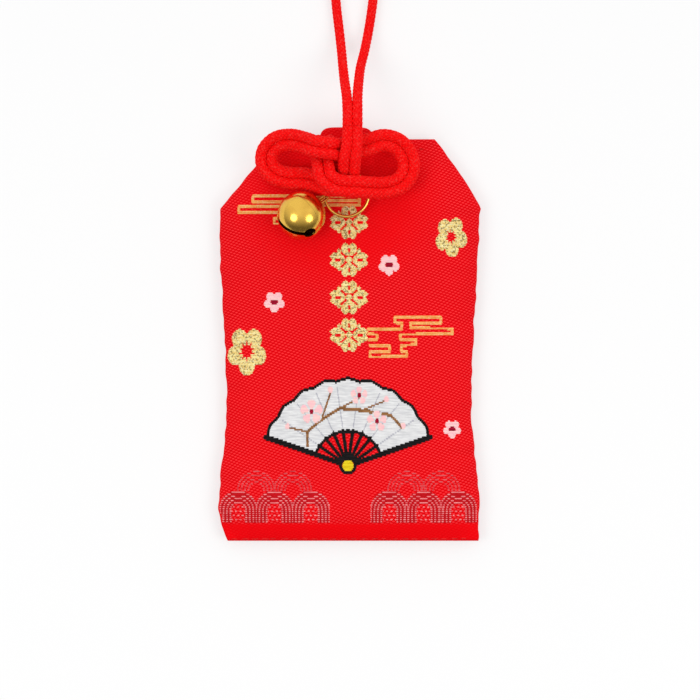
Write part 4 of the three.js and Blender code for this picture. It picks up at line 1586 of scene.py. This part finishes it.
@dataclass
class WovenDesign:
    """The brocaded motifs on the front, each a set of weft floats bound down at intervals."""

    form: PouchForm
    scan: float = 0.05
    float_step: float = 0.3
    float_overrun: float = 0.06
    float_play: float = 0.05
    rise_play: Point = (0.85, 1.1)
    end_taper: float = 0.16
    end_width: float = 0.55
    sink: float = 0.02
    bind_every: float = 1.5
    bind_shift: float = 0.37
    bind_depth: float = 0.45
    bind_width: float = 0.13
    profile: tuple[Point, ...] = ((-0.5, 0.0), (-0.36, 0.72), (0.0, 1.0), (0.36, 0.72), (0.5, 0.0))
    cloud_half: float = 0.27
    left_cloud: tuple[tuple[Point, ...], ...] = (
        ((-8.0, 26.35), (-19.2, 26.35), (-19.2, 27.45), (2.1, 27.4), (2.1, 25.75), (-8.0, 25.75)),
        ((-9.0, 25.4), (-22.0, 25.4), (-22.0, 24.2), (-9.0, 24.2)),
        ((-9.5, 23.06), (-14.9, 23.06), (-14.9, 22.0), (-9.5, 22.0)),
    )
    cloud_line: tuple[Point, Point] = ((-8.0, 26.62), (1.9, 26.62))
    cloud_line_half: float = 0.22
    right_cloud: tuple[tuple[Point, ...], ...] = (
        (
            (3.8, 0.95), (10.5, 0.98), (10.55, 2.15), (9.15, 2.3), (9.15, 3.3), (18.35, 3.3),
            (18.35, 2.25), (12.3, 2.2), (12.3, 1.2), (20.6, 1.05), (20.6, 0.0), (10.25, -0.1),
            (10.25, -1.05), (13.35, -1.05), (13.35, -2.1), (10.45, -2.3), (10.45, -3.45), (11.5, -3.5),
            (11.5, -4.5), (4.2, -4.6), (4.2, -3.6), (8.1, -3.5), (8.1, -2.4), (4.2, -2.3),
        ),
        ((3.9, 0.0), (5.6, -0.1), (5.6, -1.1), (3.9, -1.25)),
    )
    gold_blossoms: tuple[Blossom, ...] = (
        Blossom(20.4, 19.4, 6.5, 8.1, eye=0.28, first=-84.0),
        Blossom(-20.4, -3.4, 7.9, 9.7, eye=0.32),
    )
    pink_blossoms: tuple[Triple, ...] = ((8.0, 13.8, 4.3), (-14.9, 6.4, 4.25), (20.6, -19.0, 3.7))
    pink_height: float = 0.98
    heart_half: float = 0.3
    heart_share: float = 0.11
    lozenge_middles: tuple[float, ...] = (22.3, 14.8, 7.3, -0.2)
    wave_box: Four = (-26.0, PLAIN_TOP, 26.0, -26.8)

    def _float(self, start: float, end: float, row: float, number: int, motif: Motif, swell: float) -> Array:
        """Lays one weft float on the front.

        Args:
            start: Where it comes up.
            end: Where it goes down.
            row: Its place up the pouch.
            number: Which row of the motif it lies in.
            motif: The motif.
            swell: Its own share of the motif's rise.

        Returns:
            Its points in rows along it.
        """
        x = np.linspace(start, end, max(5, round((end - start) / self.float_step) + 1))
        bound = (x / self.bind_every + self.bind_shift * number) % 1.0
        dip = 1 - self.bind_depth * np.exp(-(((bound - 0.5) / self.bind_width) ** 2))
        ends = np.clip(np.minimum(x - start, end - x) / self.end_taper, 0, 1) ** 0.5
        tall = motif.rise * dip * ends * swell
        wide = motif.pitch * motif.fill * (self.end_width + (1 - self.end_width) * ends)
        side, up = np.array(self.profile).T
        y = row + side * wide[:, None]
        across = np.repeat(x[:, None], len(side), axis=1)
        z = self.form.height(Face.FRONT, across, y) + motif.lift * ends[:, None]
        return np.stack([across, y, z + up * tall[:, None] - self.sink], axis=-1)

    def _floats(self, motif: Motif) -> Piece:
        """Fills a motif's region with weft floats.

        Args:
            motif: The motif.

        Returns:
            Its floats as one piece.
        """
        x0, y0, x1, y1 = motif.box
        rows = np.arange(y0, y1, motif.pitch)
        places = np.arange(x0, x1, self.scan)
        covered = motif.region(*np.meshgrid(places, rows))
        rng = np.random.default_rng(len(motif.name) * 101 + len(rows))
        past = self.scan / 2 + self.float_overrun
        patch = Patchwork()
        for number, (row, hits) in enumerate(zip(rows, covered)):
            change = np.flatnonzero(np.diff(np.concatenate([[0], hits.astype(int), [0]])))
            for first, last in zip(change[::2], change[1::2]):
                start = places[first] - past + rng.uniform(-self.float_play, self.float_play)
                end = places[last - 1] + past + rng.uniform(-self.float_play, self.float_play)
                swell = rng.uniform(*self.rise_play)
                patch.grid(self._float(start, end, row, number, motif, swell)[:, ::-1])
        return patch.build(motif.name)

    def _motifs(self) -> list[Motif]:
        """Lists every motif on the front.

        Returns:
            The motifs in the order in which they are woven.
        """
        line = band(self.cloud_line, self.cloud_line_half)
        left = joined(line, *(band(path, self.cloud_half) for path in self.left_cloud))
        right = joined(*(band(path, self.cloud_half) for path in self.right_cloud))
        pink = joined(*(Blossom(x, y, w, w * self.pink_height) for x, y, w in self.pink_blossoms))
        gold = joined(*self.gold_blossoms)
        half, share = self.heart_half, self.heart_share
        hearts = joined(*(band([(x - half, y), (x + half, y)], w * share) for x, y, w in self.pink_blossoms))
        column = joined(*(LozengeFlower(y) for y in self.lozenge_middles))
        near, far, ground = (WaveScales(self.form, layer) for layer in WaveLayer)
        waves = self.wave_box
        return [
            Motif("left_cloud", left, (-22.6, 21.4, 2.7, 28.0), Yarn.CLOUD),
            Motif("right_cloud", right, (3.2, -5.2, 21.2, 4.0), Yarn.CLOUD),
            Motif("gold_blossoms", gold, (-24.4, -8.4, 24.0, 23.6), Yarn.GILT, rise=0.17),
            Motif("lozenge_column", column, (-4.2, -4.0, 4.2, 26.2), Yarn.GILT, rise=0.17),
            Motif("pink_blossoms", without(pink, hearts), (-17.4, -21.6, 23.0, 16.2), Yarn.PINK),
            Motif("blossom_hearts", hearts, (-17.4, -21.6, 23.0, 16.2), Yarn.CRIMSON),
            Motif("wave_ground", ground, waves, Yarn.WAVE_GROUND, pitch=0.42, fill=0.95, rise=0.03),
            Motif("near_waves", near, waves, Yarn.WAVE, pitch=0.42, fill=0.62, rise=0.09),
            Motif("far_waves", far, waves, Yarn.FAR_WAVE, pitch=0.42, fill=0.62, rise=0.09),
            *FoldingFan().motifs(),
        ]

    def build(self, yarns: dict[Yarn, Material]) -> list[Piece]:
        """Builds and dresses every motif, and returns the pieces."""
        motifs = self._motifs()
        return [dress(self._floats(motif), yarns[motif.yarn], Body.POUCH) for motif in motifs]


# Cord


@dataclass
class Cordage:
    """The one braided cord of the charm: its knot and its free hanging loop."""

    # Thickness of the cord and distance of its two strands, at the neck, in the knot and along the loop
    diameter: float = 1.94
    neck_diameter: float = 2.15
    tied_diameter: float = 2.32
    pitch: float = 2.3
    neck_pitch: float = 1.9
    tied_pitch: float = 2.2
    draw_length: float = 8.0
    thin_length: float = 18.0

    # Braid
    strands: int = 8
    plait: float = 0.92
    relief: float = 0.13
    sides: int = 40
    step: float = 0.16
    declared_every: int = 6

    # Routes: the knot's from its middle with the way that its strands face, the loop's from above the knot
    knot: Triple = (-2.4, 34.2, 11.75)
    bight_z: float = 2.4
    bight_leg: float = 1.2
    bight_steps: int = 6
    lying_z: float = 0.99
    knot_route: tuple[Four, ...] = (
        (3.1, 6.8, 1.0, 0), (3.1, 4.6, 1.2, 0), (2.9, 2.4, 1.45, -6), (2.6, 0.4, 1.3, -8),
        (2.42, -1.6, -0.1, -8), (2.25, -3.3, -1.25, -28), (1.0, -4.6, -1.3, -65), (-1.2, -4.8, -1.35, -92),
        (-3.6, -4.1, -2.6, -104), (-6.4, -3.3, -4.1, -100), (-9.4, -3.2, -4.6, -93),
        (-12.2, -2.4, -4.6, -125), (-13.9, -0.5, -4.5, -165), (-13.8, 2.0, -4.2, -200),
        (-11.9, 3.9, -3.4, -240), (-9.2, 4.3, -2.2, -272), (-6.4, 3.6, -0.1, -285), (-4.2, 2.8, 1.61, -285),
        (-1.0, 2.4, 1.37, -275), (-0.07, 2.3, 0.08, -270),
        (2.26, 2.4, -1.64, -268), (4.2, 2.6, -1.42, -262), (6.6, 3.5, -1.9, -255), (9.4, 4.25, -2.6, -268),
        (12.2, 3.4, -3.4, -310), (14.0, 1.0, -4.0, -345), (14.2, -1.8, -4.1, -368), (12.6, -4.2, -3.3, -405),
        (9.8, -5.2, -1.8, -440), (6.8, -5.3, 0.0, -452), (4.2, -5.15, 1.3, -452), (1.5, -5.0, 1.3, -452),
        (-0.32, -4.6, 1.3, -468), (-2.11, -3.28, 1.3, -508), (-2.65, -1.2, 0.14, -535),
        (-2.87, 0.59, -1.47, -540), (-2.71, 2.4, -1.68, -540), (-2.55, 4.0, -2.0, -540),
        (-2.5, 4.1, -3.2, -540), (-2.1, 2.4, -3.85, -525), (-1.2, 0.0, -3.85, -507), (0.5, -2.6, -3.85, -508),
        (1.6, -4.3, -4.7, -515), (1.9, -4.8, -6.2, -530),
    )
    loop_route: tuple[Triple, ...] = (
        (-0.97, 3.0, 11.35), (-1.13, 6.0, 9.65), (-1.55, 9.0, 7.05), (-1.9, 12.2, 4.25), (-2.2, 15.6, 1.95),
        (-2.6, 19.4, 0.45), (-3.1, 23.5, 0.0), (-3.5, 27.6, 0.0), (-4.2, 33.5, 0.0), (-5.1, 39.5, 0.0),
        (-5.6, 45.5, 0.0), (-4.4, 51.0, 0.0), (-1.3, 54.4, 0.0), (2.5, 54.4, 0.0), (5.6, 51.0, 0.0),
        (6.9, 45.5, 0.0), (6.3, 39.5, 0.0), (5.3, 33.5, 0.0), (4.35, 27.6, 0.0), (3.8, 23.5, 0.0),
        (3.15, 19.4, 0.45), (2.4, 15.6, 1.95), (1.6, 12.2, 4.25), (1.2, 9.0, 7.05), (0.98, 6.0, 9.65),
        (0.95, 3.0, 11.35),
    )

    def _strand(self, side: int) -> Array:
        """Places one strand of the doubled cord through the knot.

        Args:
            side: 1 or -1 for the strand on either side of the route.

        Returns:
            The strand's points.
        """
        across, up, out, facing = np.array(self.knot_route).T
        shift = side * self.pitch / 2
        turn = np.radians(facing)
        points = np.stack([across + shift * np.cos(turn), up + shift * np.sin(turn), out], axis=1)
        return points + np.array(self.knot)

    def _bight(self) -> Array:
        """Turns the cord across the back of the pouch.

        Returns:
            The turn's points.
        """
        half = self.pitch / 2
        turn = np.linspace(np.pi, 2 * np.pi, self.bight_steps + 1)
        x = np.concatenate([[-half], half * np.cos(turn), [half]]) + NECK[0]
        z = np.concatenate([[self.bight_leg], half * np.sin(turn), [self.bight_leg]]) + self.bight_z
        return np.stack([x, np.full(len(x), NECK[1]), z], axis=1)

    def _knot_path(self) -> Array:
        """Runs the cord through the knot and the pouch, its two strands drawn together side by side.

        Returns:
            Its middle line.
        """
        line = curve(np.concatenate([self._strand(1), self._bight(), self._strand(-1)[::-1]]))
        count = (len(self.knot_route) - 1) * SPAN_STEPS + 1
        first, second = line[:count], line[-count:][::-1]
        apart = np.linalg.norm(second - first, axis=1)
        close = self._eased(along(first), self.draw_length, self.neck_pitch, self.tied_pitch)
        draw = (second - first) * (np.maximum(apart - close, 0) / apart / 2)[:, None]
        drawn = np.concatenate([first + draw, line[count:-count], (second - draw)[::-1]])
        return spaced(drawn, self.step)

    def _loop_path(self) -> Array:
        """Runs the hanging loop from one strand of the knot to the other.

        Returns:
            Its middle line.
        """
        top = np.array(self.knot) + self.knot_route[0][:3]
        lying = np.array(self.loop_route) + (top[0], top[1], self.lying_z)
        half = np.array([self.neck_pitch / 2, 0, 0])
        return spaced(curve(np.concatenate([[top - half], lying, [top + half]])), self.step)

    @staticmethod
    def _eased(reach: Array, length: float, start: float, end: float) -> Array:
        """Returns a size at distances from the neck, which changes evenly over a length."""
        return start + (end - start) * smooth_step(reach / length)

    def _braided(self, name: str, path: Array, diameter: Array) -> Piece:
        """Builds a tube whose surface is crossed strands.

        Args:
            name: The piece's name.
            path: Its middle line.
            diameter: Its thickness at each point.

        Returns:
            The piece, with the braid's coordinates on it.
        """
        turn = np.arange(self.sides + 1) / self.sides * self.strands
        run = np.arange(len(path)) * self.step / self.plait
        u, v = np.meshgrid(turn, run)
        phases = v + u, v - u
        odd = sum(np.floor(phase) for phase in phases) % 2
        first, second = (np.sin(np.pi * (phase % 1.0)) for phase in phases)
        clear = np.clip(first * second / Groups.dip_reach, 0, 1)
        crown = np.where(odd < 0.5, first, second) * (Groups.dip_share + (1 - Groups.dip_share) * clear)
        radius = diameter[:, None] / 2 - self.relief * (1 - crown)
        patch = Patchwork()
        tube(patch, path, radius[:, :-1], self.sides, np.stack([u, v], axis=-1))
        return patch.build(name)

    def _cord(self, name: str, path: Array, length: float, diameter: float, finish: Material) -> Piece:
        """Builds and dresses a cord that leaves the neck at both ends.

        Args:
            name: The piece's name.
            path: Its middle line.
            length: How far from the neck it reaches its own thickness.
            diameter: That thickness.
            finish: Its material.

        Returns:
            The piece.
        """
        place = np.arange(len(path))
        from_ends = np.minimum(place, place[::-1]) * self.step
        thick = self._eased(from_ends, length, self.neck_diameter, diameter)
        return dress(self._braided(name, path, thick), finish, Body.POUCH)

    def build(self, finish: Material) -> None:
        """Args:
            finish: The cord's material.
        """
        path = self._loop_path()
        loop = self._cord("hanging_cord", path, self.thin_length, self.diameter, finish)
        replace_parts(loop, "hanging_loop")
        knot = self._cord("knotted_cord", self._knot_path(), self.draw_length, self.tied_diameter, finish)
        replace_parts(knot, "knot_cord")


# Ring and bell


@dataclass
class RingAndBell:
    """The wire ring at the neck and the jingle bell that hangs on it by its eye."""

    # Ring
    ring_centre: Triple = (-0.5, 27.8, 6.4)
    ring_radius: float = 4.4
    ring_steps: int = 160
    ring_cut: float = 0.1
    cut_angle: float = 75.0
    wire: float = 0.66
    wire_sides: int = 20
    wire_step: float = 0.12

    # Bell
    bell_centre: Triple = (-9.45, 23.45, 10.1)
    bell_radius: float = 4.8
    wall: float = 0.4
    seam: float = 0.04
    segments: int = 112
    arc_steps: int = 36
    slot_facing: Triple = (0.18, 0.67, 0.72)
    slot_width: float = 0.9
    slot_half_angle: float = 64.0
    slot_hole: float = 2.5
    drill_sides: int = 40
    drill_reach: float = 1.0
    mouth_height: float = 2.0
    on_wall: float = 0.002

    # Eye
    eye_angle: float = 190.0
    eye_leg: float = 1.11
    eye_foot: float = 0.8
    foot_drop: float = 0.25
    ankle_rise: float = 0.35
    eye_shoulder: float = 0.71
    eye_hang: float = 0.2
    eye_clearance: float = 0.3

    def _frame(self) -> tuple[Matrix, float]:
        """Works out the bell's own frame, its eye along Y and its slot in XY.

        Returns:
            The frame, and the distance from its origin to the ring's wire.
        """
        angle = math.radians(self.eye_angle)
        wire = Vector(self.ring_centre) + Vector((math.cos(angle), math.sin(angle), 0)) * self.ring_radius
        hang = wire - Vector(self.bell_centre)
        up = hang.normalized()
        facing = Vector(self.slot_facing)
        facing = (facing - up * facing.dot(up)).normalized()
        turned = Matrix((up.cross(facing), up, facing)).transposed().to_4x4()
        return Matrix.Translation(Vector(self.bell_centre)) @ turned, hang.length

    def _eye_turn(self) -> float:
        """Works out the turn about the bell's axis that lays the eye square to the wire.

        Returns:
            The turn in radians.
        """
        angle = math.radians(self.eye_angle)
        wire = Vector((-math.sin(angle), math.cos(angle), 0))
        local = self._frame()[0].to_3x3().inverted() @ wire
        return math.atan2(local.x, local.z)

    @staticmethod
    def _solid(name: str, points: Array, faces: list[list[int]]) -> Piece:
        """Makes a plain closed mesh to cut or to cut with.

        Args:
            name: Its name.
            points: Its points in millimetres.
            faces: The points of each face.

        Returns:
            The new object.
        """
        mesh = bpy.data.meshes.new(name)
        mesh.from_pydata((points * MM).tolist(), [], faces)
        piece = bpy.data.objects.new(name, mesh)
        bpy.context.scene.collection.objects.link(piece)
        return piece

    def _cup(self, name: str, sign: int) -> Piece:
        """Builds half of the bell's hollow ball in the bell's own frame.

        Args:
            name: The piece's name.
            sign: 1 for the half with the eye, -1 for the half with the slot.

        Returns:
            The uncut half.
        """
        rings = []
        for radius, ends in ((self.bell_radius, (0, 1)), (self.bell_radius - self.wall, (1, 0))):
            first = math.asin(self.seam / 2 / radius)
            for angle in first + (math.pi / 2 - first) * np.linspace(*ends, self.arc_steps + 1):
                rings.append((radius * math.cos(angle), sign * radius * math.sin(angle)))
        poles = {self.arc_steps, self.arc_steps + 1}
        points, rows = [], []
        turns = np.linspace(0, 2 * math.pi, self.segments, endpoint=False)
        for number, (reach, level) in enumerate(rings):
            size = 1 if number in poles else self.segments
            rows.append([len(points) + i % size for i in range(self.segments)])
            points += [(reach * math.cos(turn), level, reach * math.sin(turn)) for turn in turns[:size]]
        faces = []
        for number, (row, after) in enumerate(zip(rows, rows[1:] + rows[:1])):
            if number == self.arc_steps:
                continue
            for i in range(self.segments):
                j = (i + 1) % self.segments
                corners = [row[i], row[j], after[j], after[i]][:: -sign]
                faces.append(list(dict.fromkeys(corners)))
        return self._solid(name, np.array(points), faces)

    def _box(self, size: Triple, middle: Triple, turn: float) -> Piece:
        """Makes a box for cutting.

        Args:
            size: Its size along each axis of the bell's own frame.
            middle: Its middle.
            turn: Its turn about the bell's axis.

        Returns:
            The box.
        """
        corners = [(x, y, z) for x in (-0.5, 0.5) for y in (-0.5, 0.5) for z in (-0.5, 0.5)]
        x, y, z = (np.array(corners) * size + middle).T
        cosine, sine = math.cos(turn), math.sin(turn)
        points = np.stack([x * cosine + z * sine, y, z * cosine - x * sine], axis=1)
        faces = [[0, 1, 3, 2], [4, 6, 7, 5], [0, 4, 5, 1], [2, 3, 7, 6], [0, 2, 6, 4], [1, 5, 7, 3]]
        return self._solid("cutter", points, faces)

    def _drill(self, side: int) -> Piece:
        """Makes a round bar through the wall, for cutting.

        Args:
            side: 1 or -1 for either end of the slot.

        Returns:
            The bar.
        """
        lean = side * math.radians(self.slot_half_angle)
        axis = np.array([math.sin(lean), -math.cos(lean), 0.0])
        across = np.array([math.cos(lean), math.sin(lean), 0.0])
        count = self.drill_sides
        turns = np.linspace(0, 2 * math.pi, count, endpoint=False)
        rim = np.outer(np.cos(turns), across) + np.outer(np.sin(turns), (0.0, 0.0, 1.0))
        ends = self.bell_radius - self.drill_reach, self.bell_radius + self.drill_reach
        points = np.concatenate([rim * self.slot_hole / 2 + axis * end for end in ends])
        faces = [[i, (i + 1) % count, count + (i + 1) % count, count + i] for i in range(count)]
        faces += [list(range(count))[::-1], list(range(count, 2 * count))]
        return self._solid("cutter", points, faces)

    def _cut(self, cup: Piece, cutters: list[Piece]) -> Piece:
        """Cuts a cup and moves it into place.

        Args:
            cup: The uncut half.
            cutters: What is taken out of it.

        Returns:
            The finished half.
        """
        for cutter in cutters:
            step = cup.modifiers.new("cut", "BOOLEAN")
            step.operation = "DIFFERENCE"
            step.solver = "EXACT"
            step.object = cutter
        made = bpy.data.meshes.new_from_object(cup.evaluated_get(bpy.context.evaluated_depsgraph_get()))
        cup.modifiers.clear()
        cup.data = made
        for cutter in cutters:
            bpy.data.objects.remove(cutter)
        place, _ = self._frame()
        place.translation *= MM
        made.transform(place)
        self._smooth(made)
        return cup

    def _smooth(self, mesh: bpy.types.Mesh) -> None:
        """Gives a cup the true normals of a ball, and its inside the second material, which is darkened with
        painted shade.

        Args:
            mesh: The cup's mesh, in place.
        """
        mesh.polygons.foreach_set("use_smooth", np.ones(len(mesh.polygons), dtype=bool))
        centre = Vector(self.bell_centre) * MM
        skins = ((self.bell_radius * MM, 1), ((self.bell_radius - self.wall) * MM, -1))
        normals = []
        for face in mesh.polygons:
            spokes = [mesh.vertices[index].co - centre for index in face.vertices]
            for radius, way in skins:
                if all(abs(spoke.length - radius) < self.on_wall * MM for spoke in spokes):
                    normals += [way * spoke.normalized() for spoke in spokes]
                    face.material_index = 0 if way > 0 else 1
                    break
            else:
                normals += [face.normal.copy() for _ in spokes]
        mesh.normals_split_custom_set(normals)

    def _eye(self) -> Piece:
        """Builds the bell's wire eye round the ring.

        Returns:
            The eye.
        """
        matrix, reach = self._frame()
        leg, crown, bend = self.eye_leg, reach - self.eye_hang, self.eye_leg * self.eye_shoulder
        inside = self.bell_radius - self.wall - self.eye_clearance - self.wire / 2
        half = [
            (leg + self.eye_foot, inside - self.foot_drop),
            (leg + self.eye_foot / 2, inside),
            (leg, inside + self.ankle_rise),
            (leg, self.bell_radius + self.eye_hang),
            (leg, crown),
            (bend, crown + bend),
        ]
        flat = [*half, (0.0, crown + leg), *((-x, y) for x, y in half[::-1])]
        turn = self._eye_turn()
        points = [matrix @ Vector((x * math.cos(turn), y, -x * math.sin(turn))) for x, y in flat]
        patch = Patchwork()
        tube(patch, spaced(curve(np.array(points)), self.wire_step), self.wire / 2, self.wire_sides)
        return patch.build("bell_wire_eye")

    def _ring(self) -> Piece:
        """Builds the ring, cut once where its wire meets.

        Returns:
            The ring.
        """
        gap = self.ring_cut / self.ring_radius / 2
        start, end = math.radians(self.cut_angle) + gap, math.radians(self.cut_angle + 360) - gap
        turns = np.linspace(start, end, self.ring_steps + 1)
        flat = np.stack([np.cos(turns), np.sin(turns), np.zeros_like(turns)], axis=1)
        patch = Patchwork()
        tube(patch, flat * self.ring_radius + np.array(self.ring_centre), self.wire / 2, self.wire_sides)
        return patch.build("wire_ring")

    def build(self, brass: Material, gilt: Material, dull: Material) -> None:
        """Builds and dresses the ring, the bell's eye and the bell's two halves.

        Args:
            brass: Material of the bell's outside.
            gilt: Material of the wire.
            dull: Material of the bell's inside: rough brass darkened with painted shade.
        """
        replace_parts(dress(self._ring(), gilt, Body.RING), "jump_ring")
        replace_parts(dress(self._eye(), gilt, Body.BELL), "bell_eye")
        reach = self.wire / 2 + self.eye_clearance
        span = (2 * (self.eye_leg + reach), self.mouth_height, 2 * reach)
        mouth = self._box(span, (0, self.bell_radius - self.wall / 2, 0), self._eye_turn())
        upper = self._cut(self._cup("bell_upper", 1), [mouth])
        start = self.bell_radius * math.cos(math.radians(self.slot_half_angle))
        depth = self.bell_radius
        slot = self._box((3 * depth, depth, self.slot_width), (0, -start - depth / 2, 0), 0.0)
        lower = self._cut(self._cup("bell_lower", -1), [slot, self._drill(-1), self._drill(1)])
        for cup, node in ((upper, "bell_upper_cup"), (lower, "bell_lower_cup")):
            inside = [face.material_index for face in cup.data.polygons]
            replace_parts(dress(cup, brass, Body.BELL), node)
            cup.data.materials.append(dull)
            cup.data.polygons.foreach_set("material_index", inside)


# Contents


@dataclass
class Contents:
    """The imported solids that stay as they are: what lies in the pouch and the ball in the bell."""

    ball_levels: int = 2

    def build(self, finishes: dict[str, Material]) -> None:
        """Dresses each solid and rounds the ball.

        Args:
            finishes: A material for each node.
        """
        for name, material in finishes.items():
            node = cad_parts[name]
            if not node.material_slots:
                node.data.materials.append(material)
            for holder in node.material_slots:
                holder.material = material
            LOG.info("%s: dressed in %s", name, material.name)
        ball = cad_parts["bell_pellet"].modifiers.new("round", "SUBSURF")
        ball.levels = self.ball_levels
        ball.render_levels = self.ball_levels


# Studio


@dataclass
class Studio:
    """The camera straight above the charm, its pale floor and soft lamps, in metres."""

    # Camera
    view_width: float = 0.14
    view_middle: Triple = (0.0002, -0.0032, 0.003)
    camera_distance: float = 0.8
    clip_start: float = 0.01
    sensor: float = 36.0

    # Floor
    floor_half: float = 2.0
    floor_cells: int = 8
    floor_z: float = -0.0001
    floor_colour: Triple = (0.9, 0.9, 0.9)
    floor_rough: float = 0.9
    floor_specular: float = 0.1
    glow: float = 0.6

    # Lamps and dome
    lamp_distance: float = 0.62
    lamp_radius: float = 0.17
    lamp_power: float = 0.95
    lamp_ways: tuple[Triple, ...] = ((-0.587, -0.16, 0.794), (0.62, -0.22, 0.752))
    dome_lean: Point = (0.7, 0.5)
    dome_slope: Point = (-0.35, 0.55)
    dome_light: Point = (0.14, 0.98)

    def build_camera(self) -> None:
        """Places the camera."""
        data = bpy.data.cameras.new("camera")
        data.sensor_width = self.sensor
        data.lens = self.sensor * self.camera_distance / self.view_width
        data.clip_start = self.clip_start
        camera = bpy.data.objects.new("camera", data)
        camera.location = Vector(self.view_middle) + Vector((0, 0, self.camera_distance))
        bpy.context.scene.collection.objects.link(camera)
        bpy.context.scene.camera = camera

    @staticmethod
    def _seen(net: Net) -> Socket:
        """Returns 1 for rays that see the background straight or through glass, 0 for the rest."""
        path = net.add("LightPath")
        return net.math("MAXIMUM", path.outputs["Is Camera Ray"], path.outputs["Is Transmission Ray"])

    def build_floor(self) -> None:
        """Lays the pale floor, which keeps the charm's shadow."""
        line = np.linspace(-self.floor_half, self.floor_half, self.floor_cells + 1) / MM
        x, y = np.meshgrid(line, line)
        patch = Patchwork()
        patch.grid(np.stack([x, y, np.full(x.shape, self.floor_z / MM)], axis=-1))
        floor = patch.build("studio_floor")
        made = Finish("pale_floor")
        net = made.net
        made.surface(
            Base_Color=self.floor_colour, Roughness=self.floor_rough, Specular_IOR_Level=self.floor_specular
        )
        share = net.math("MULTIPLY", self._seen(net), self.glow)
        glow = net.add("Emission").outputs[0]
        blend = net.add("MixShader", share, made.shader.outputs[0], glow).outputs[0]
        net.put(net.tree.nodes["Material Output"].inputs["Surface"], blend)
        floor.data.materials.append(made.material)

    def build_light(self) -> None:
        """Sets the lamps and a dome that is brightest beyond the top of the charm."""
        for number, way in enumerate(self.lamp_ways):
            data = bpy.data.lights.new(f"lamp_{number}", "AREA")
            data.shape = "DISK"
            data.size = 2 * self.lamp_radius
            data.energy = self.lamp_power
            lamp = bpy.data.objects.new(f"lamp_{number}", data)
            direction = Vector(way).normalized()
            lamp.location = Vector(self.view_middle) + direction * self.lamp_distance
            lamp.rotation_euler = direction.to_track_quat("Z", "Y").to_euler()
            bpy.context.scene.collection.objects.link(lamp)
        world = bpy.data.worlds.new("studio_dome")
        world.use_nodes = True
        bpy.context.scene.world = world
        net = Net(world.node_tree)
        _, up, out = net.axes(net.add("TexCoord").outputs["Generated"])
        slope = net.weighed((up, self.dome_lean[0]), (out, self.dome_lean[1]))
        dome = net.span(slope, *self.dome_slope, *self.dome_light)
        back = world.node_tree.nodes["Background"]
        net.put(back.inputs["Strength"], net.mix(self._seen(net), dome, 1.0, kind="FLOAT"))
        net.put(back.inputs["Color"], (1.0, 1.0, 1.0))


# Finishes of the metal and of what lies inside

BRASS = MetalFinish("polished_brass", srgb(236, 190, 84), srgb(196, 142, 50), polish=0.17, dullness=0.1)
# Bell's inside: rough, unpolished brass whose dark colour is painted shade
DULL_SHADED_BRASS = MetalFinish("dull_shaded_brass", srgb(96, 66, 26), srgb(58, 40, 18), polish=0.55, dullness=0.2)
GILT_WIRE = MetalFinish("gilt_wire", srgb(240, 190, 92), srgb(204, 140, 60), polish=0.18, dullness=0.1)
STEEL = MetalFinish("steel_ball", (0.56, 0.57, 0.58), (0.32, 0.31, 0.3), polish=0.25, dullness=0.2)
CARD = FibreFinish("grey_card", srgb(233, 228, 216), srgb(206, 198, 182), grain=(500, 700, 900))
PAPER = FibreFinish("white_paper", srgb(246, 243, 234), srgb(232, 227, 214), grain=(300, 900, 600), rough=0.8)
WOOD = FibreFinish("planed_wood", srgb(217, 185, 138), srgb(188, 148, 98), grain=(900, 60, 400), rough=0.7)


def main() -> None:
    """Builds the charm in order: camera and cords first, then pouch, design, metal, contents and light."""
    logging.basicConfig(level=logging.INFO, format="%(name)s: %(message)s")
    bpy.context.scene.view_settings.view_transform = "Standard"
    studio = Studio()
    studio.build_camera()
    groups = Groups()
    Cordage().build(CordFinish().material(groups))
    yarns = {yarn: yarn.value.material(groups) for yarn in Yarn}
    form = PouchForm()
    pouch = Pouch(form)
    pieces = pouch.build(BrocadeFinish().material(groups), yarns[Yarn.SEWING])
    pieces[Face.FRONT] += WovenDesign(form).build(yarns)
    pouch.declare(pieces)
    RingAndBell().build(BRASS.material(groups), GILT_WIRE.material(groups), DULL_SHADED_BRASS.material(groups))
    finishes = {"stiffener_card": CARD, "paper_wrapper": PAPER, "amulet_tablet": WOOD, "bell_pellet": STEEL}
    Contents().build({name: finish.material(groups) for name, finish in finishes.items()})
    studio.build_floor()
    studio.build_light()


if __name__ == "__main__":
    main()
